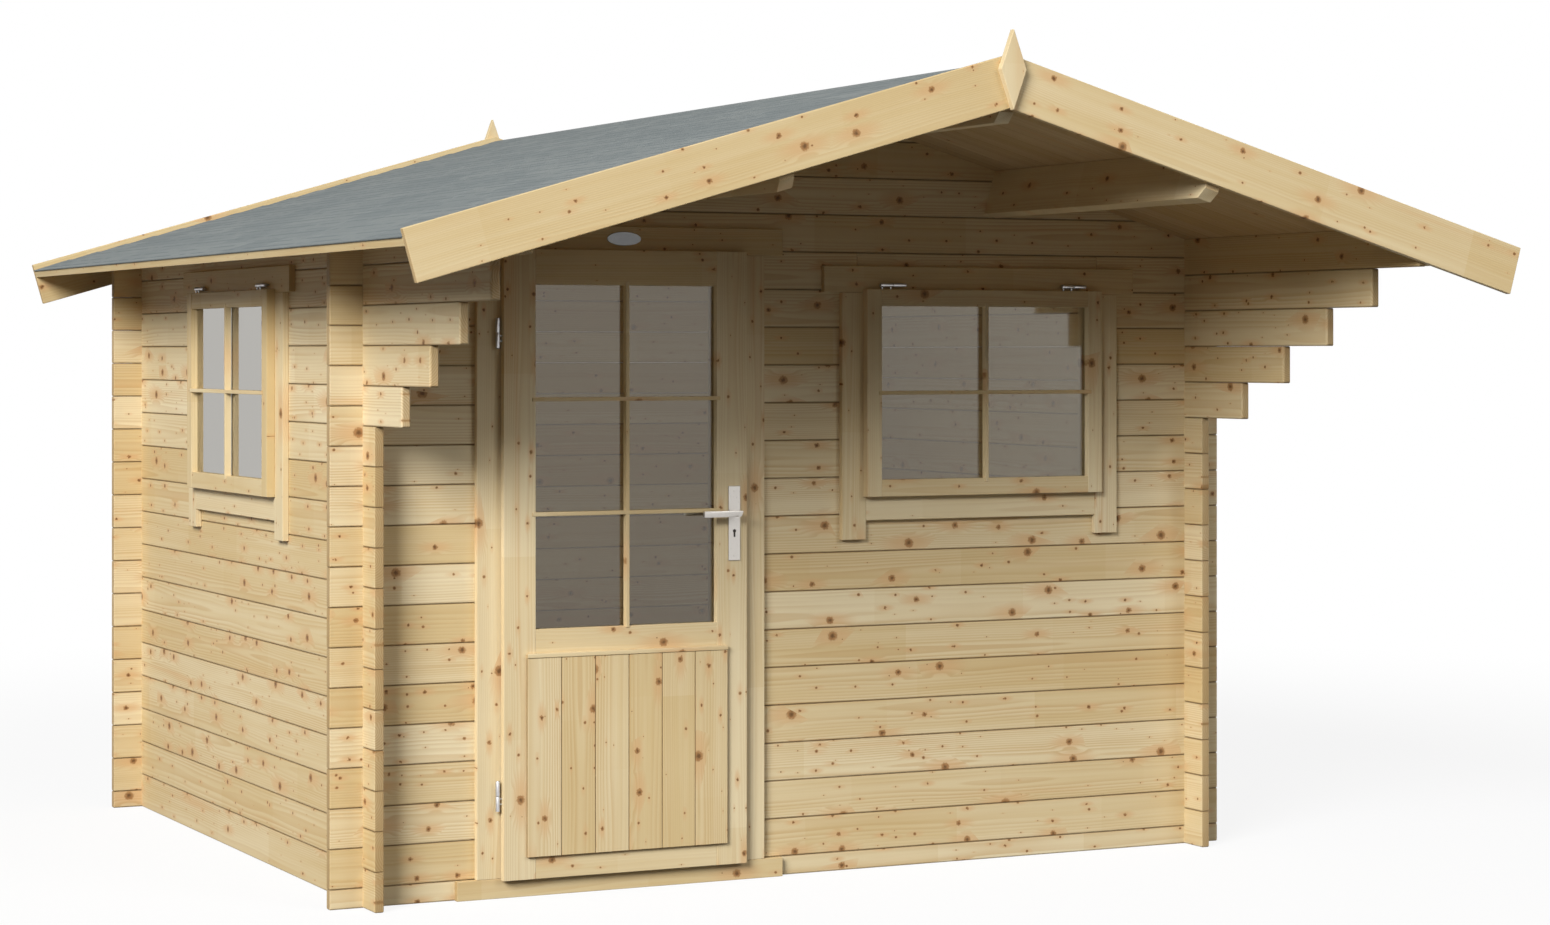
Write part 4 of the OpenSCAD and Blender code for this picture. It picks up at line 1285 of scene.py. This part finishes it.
@dataclass
class Studio:
    """Pale floor, soft light and the camera."""

    lens: float = 75.08
    shift: tuple[float, float] = (0.0382, -0.0711)
    spot: tuple[float, float, float] = (-4.4731, -9.3069, 1.5704)
    heading: float = -25.775
    key_azimuth: float = 52.0
    key_height: float = 27.0
    fill_azimuth: float = -28.0
    fill_share: float = 0.20
    key_power: float = 15000.0
    key_size: float = 16.0
    ambient: float = 0.07

    def build(self) -> None:
        """Builds floor, lamps, world and camera."""
        scene = bpy.context.scene
        scene.view_settings.view_transform = "Standard"
        self._floor()
        self._lamps()
        self._world(scene)
        camera = bpy.data.cameras.new("view")
        camera.lens = self.lens
        camera.sensor_width = 36.0
        camera.shift_x, camera.shift_y = self.shift
        holder = bpy.data.objects.new("view", camera)
        scene.collection.objects.link(holder)
        holder.location = self.spot
        holder.rotation_euler = (math.radians(90), 0, math.radians(self.heading))
        scene.camera = holder

    def _floor(self) -> None:
        """Lays a pale floor that keeps the cabin's shadow."""
        sheet = bmesh.new()
        bmesh.ops.create_grid(sheet, x_segments=2, y_segments=2, size=60)
        bmesh.ops.translate(sheet, vec=(0, 0, -0.0005), verts=sheet.verts)
        mesh = bpy.data.meshes.new("floor")
        sheet.to_mesh(mesh)
        sheet.free()
        floor = bpy.data.objects.new("floor", mesh)
        bpy.context.scene.collection.objects.link(floor)
        material = bpy.data.materials.new("pale_floor")
        net = Net(material)
        place = net.node("ShaderNodeTexCoord", {}, {}, "Object")
        x, y, _ = net.split(place)
        away = (x * x + y * y).root().ramp(3.2, 8.0)
        path = net.node("ShaderNodeLightPath", {}, {}, "Is Camera Ray")
        seen = path.larger(net.other(path, "Is Glossy Ray")).larger(
            net.other(path, "Is Transmission Ray"))
        tint = net.blend(seen, (0.10, 0.10, 0.10), (0.95, 0.95, 0.95))
        matt = net.node("ShaderNodeBsdfDiffuse", {}, {"Color": tint})
        glow = net.node("ShaderNodeEmission", {}, {"Color": (1.0, 1.0, 1.0), "Strength": 1.0})
        share = seen * (away * 0.12 + 0.88)
        net.surface(net.node("ShaderNodeMixShader", {}, {0: share, 1: matt, 2: glow}))
        mesh.materials.append(material)

    def _panel_lamp(self, name: str, azimuth: float, share: float) -> None:
        """Hangs one broad far lamp.

        Args:
            name: The lamp's name.
            azimuth: Degrees to the left of straight ahead.
            share: Part of the key's power.
        """
        a, h = math.radians(azimuth), math.radians(self.key_height)
        toward = Vector((-math.sin(a) * math.cos(h), -math.cos(a) * math.cos(h), math.sin(h)))
        lamp = bpy.data.lights.new(name, "AREA")
        lamp.shape = "DISK"
        lamp.size = self.key_size
        lamp.energy = self.key_power * share
        holder = bpy.data.objects.new(name, lamp)
        bpy.context.scene.collection.objects.link(holder)
        holder.location = toward * 34 + Vector((0, 0, 1))
        holder.rotation_euler = toward.to_track_quat("Z", "Y").to_euler()

    def _lamps(self) -> None:
        """Hangs a broad lamp on each side and a dim one in the room."""
        self._panel_lamp("key", self.key_azimuth, 1.0)
        self._panel_lamp("fill", self.fill_azimuth, self.fill_share)
        inside = bpy.data.lights.new("room_fill", "POINT")
        inside.energy = 5.0
        inside.shadow_soft_size = 0.4
        glow = bpy.data.objects.new("room_fill", inside)
        bpy.context.scene.collection.objects.link(glow)
        glow.location = (0.2, 0.45, 1.1)
        glow.visible_camera = False
        glow.visible_glossy = False

    def _world(self, scene: bpy.types.Scene) -> None:
        """Gives a dim even light, and white where it is seen."""
        world = bpy.data.worlds.new("studio")
        scene.world = world
        net = Net(world)
        path = net.node("ShaderNodeLightPath", {}, {}, "Is Camera Ray")
        seen = path.larger(net.other(path, "Is Glossy Ray")).larger(
            net.other(path, "Is Transmission Ray"))
        sky = net.node("ShaderNodeBackground", {}, {
            "Color": (1.0, 1.0, 1.0, 1.0), "Strength": seen * (1.0 - self.ambient) + self.ambient})
        out = net.tree.nodes.new("ShaderNodeOutputWorld")
        net.tree.links.new(sky.socket, out.inputs["Surface"])


def main() -> None:
    """Builds the cabin piece by piece."""
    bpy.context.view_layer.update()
    finishes = Finishes()
    for part in (LogWalls(finishes), Roof(finishes), Floor(finishes), Doorway(finishes),
                 Window(finishes), Window(finishes, prefix="left_window", seed=141), Studio()):
        part.build()
        log.info("%s built", type(part).__name__)


if __name__ == "__main__":
    logging.basicConfig(level=logging.INFO)
    main()
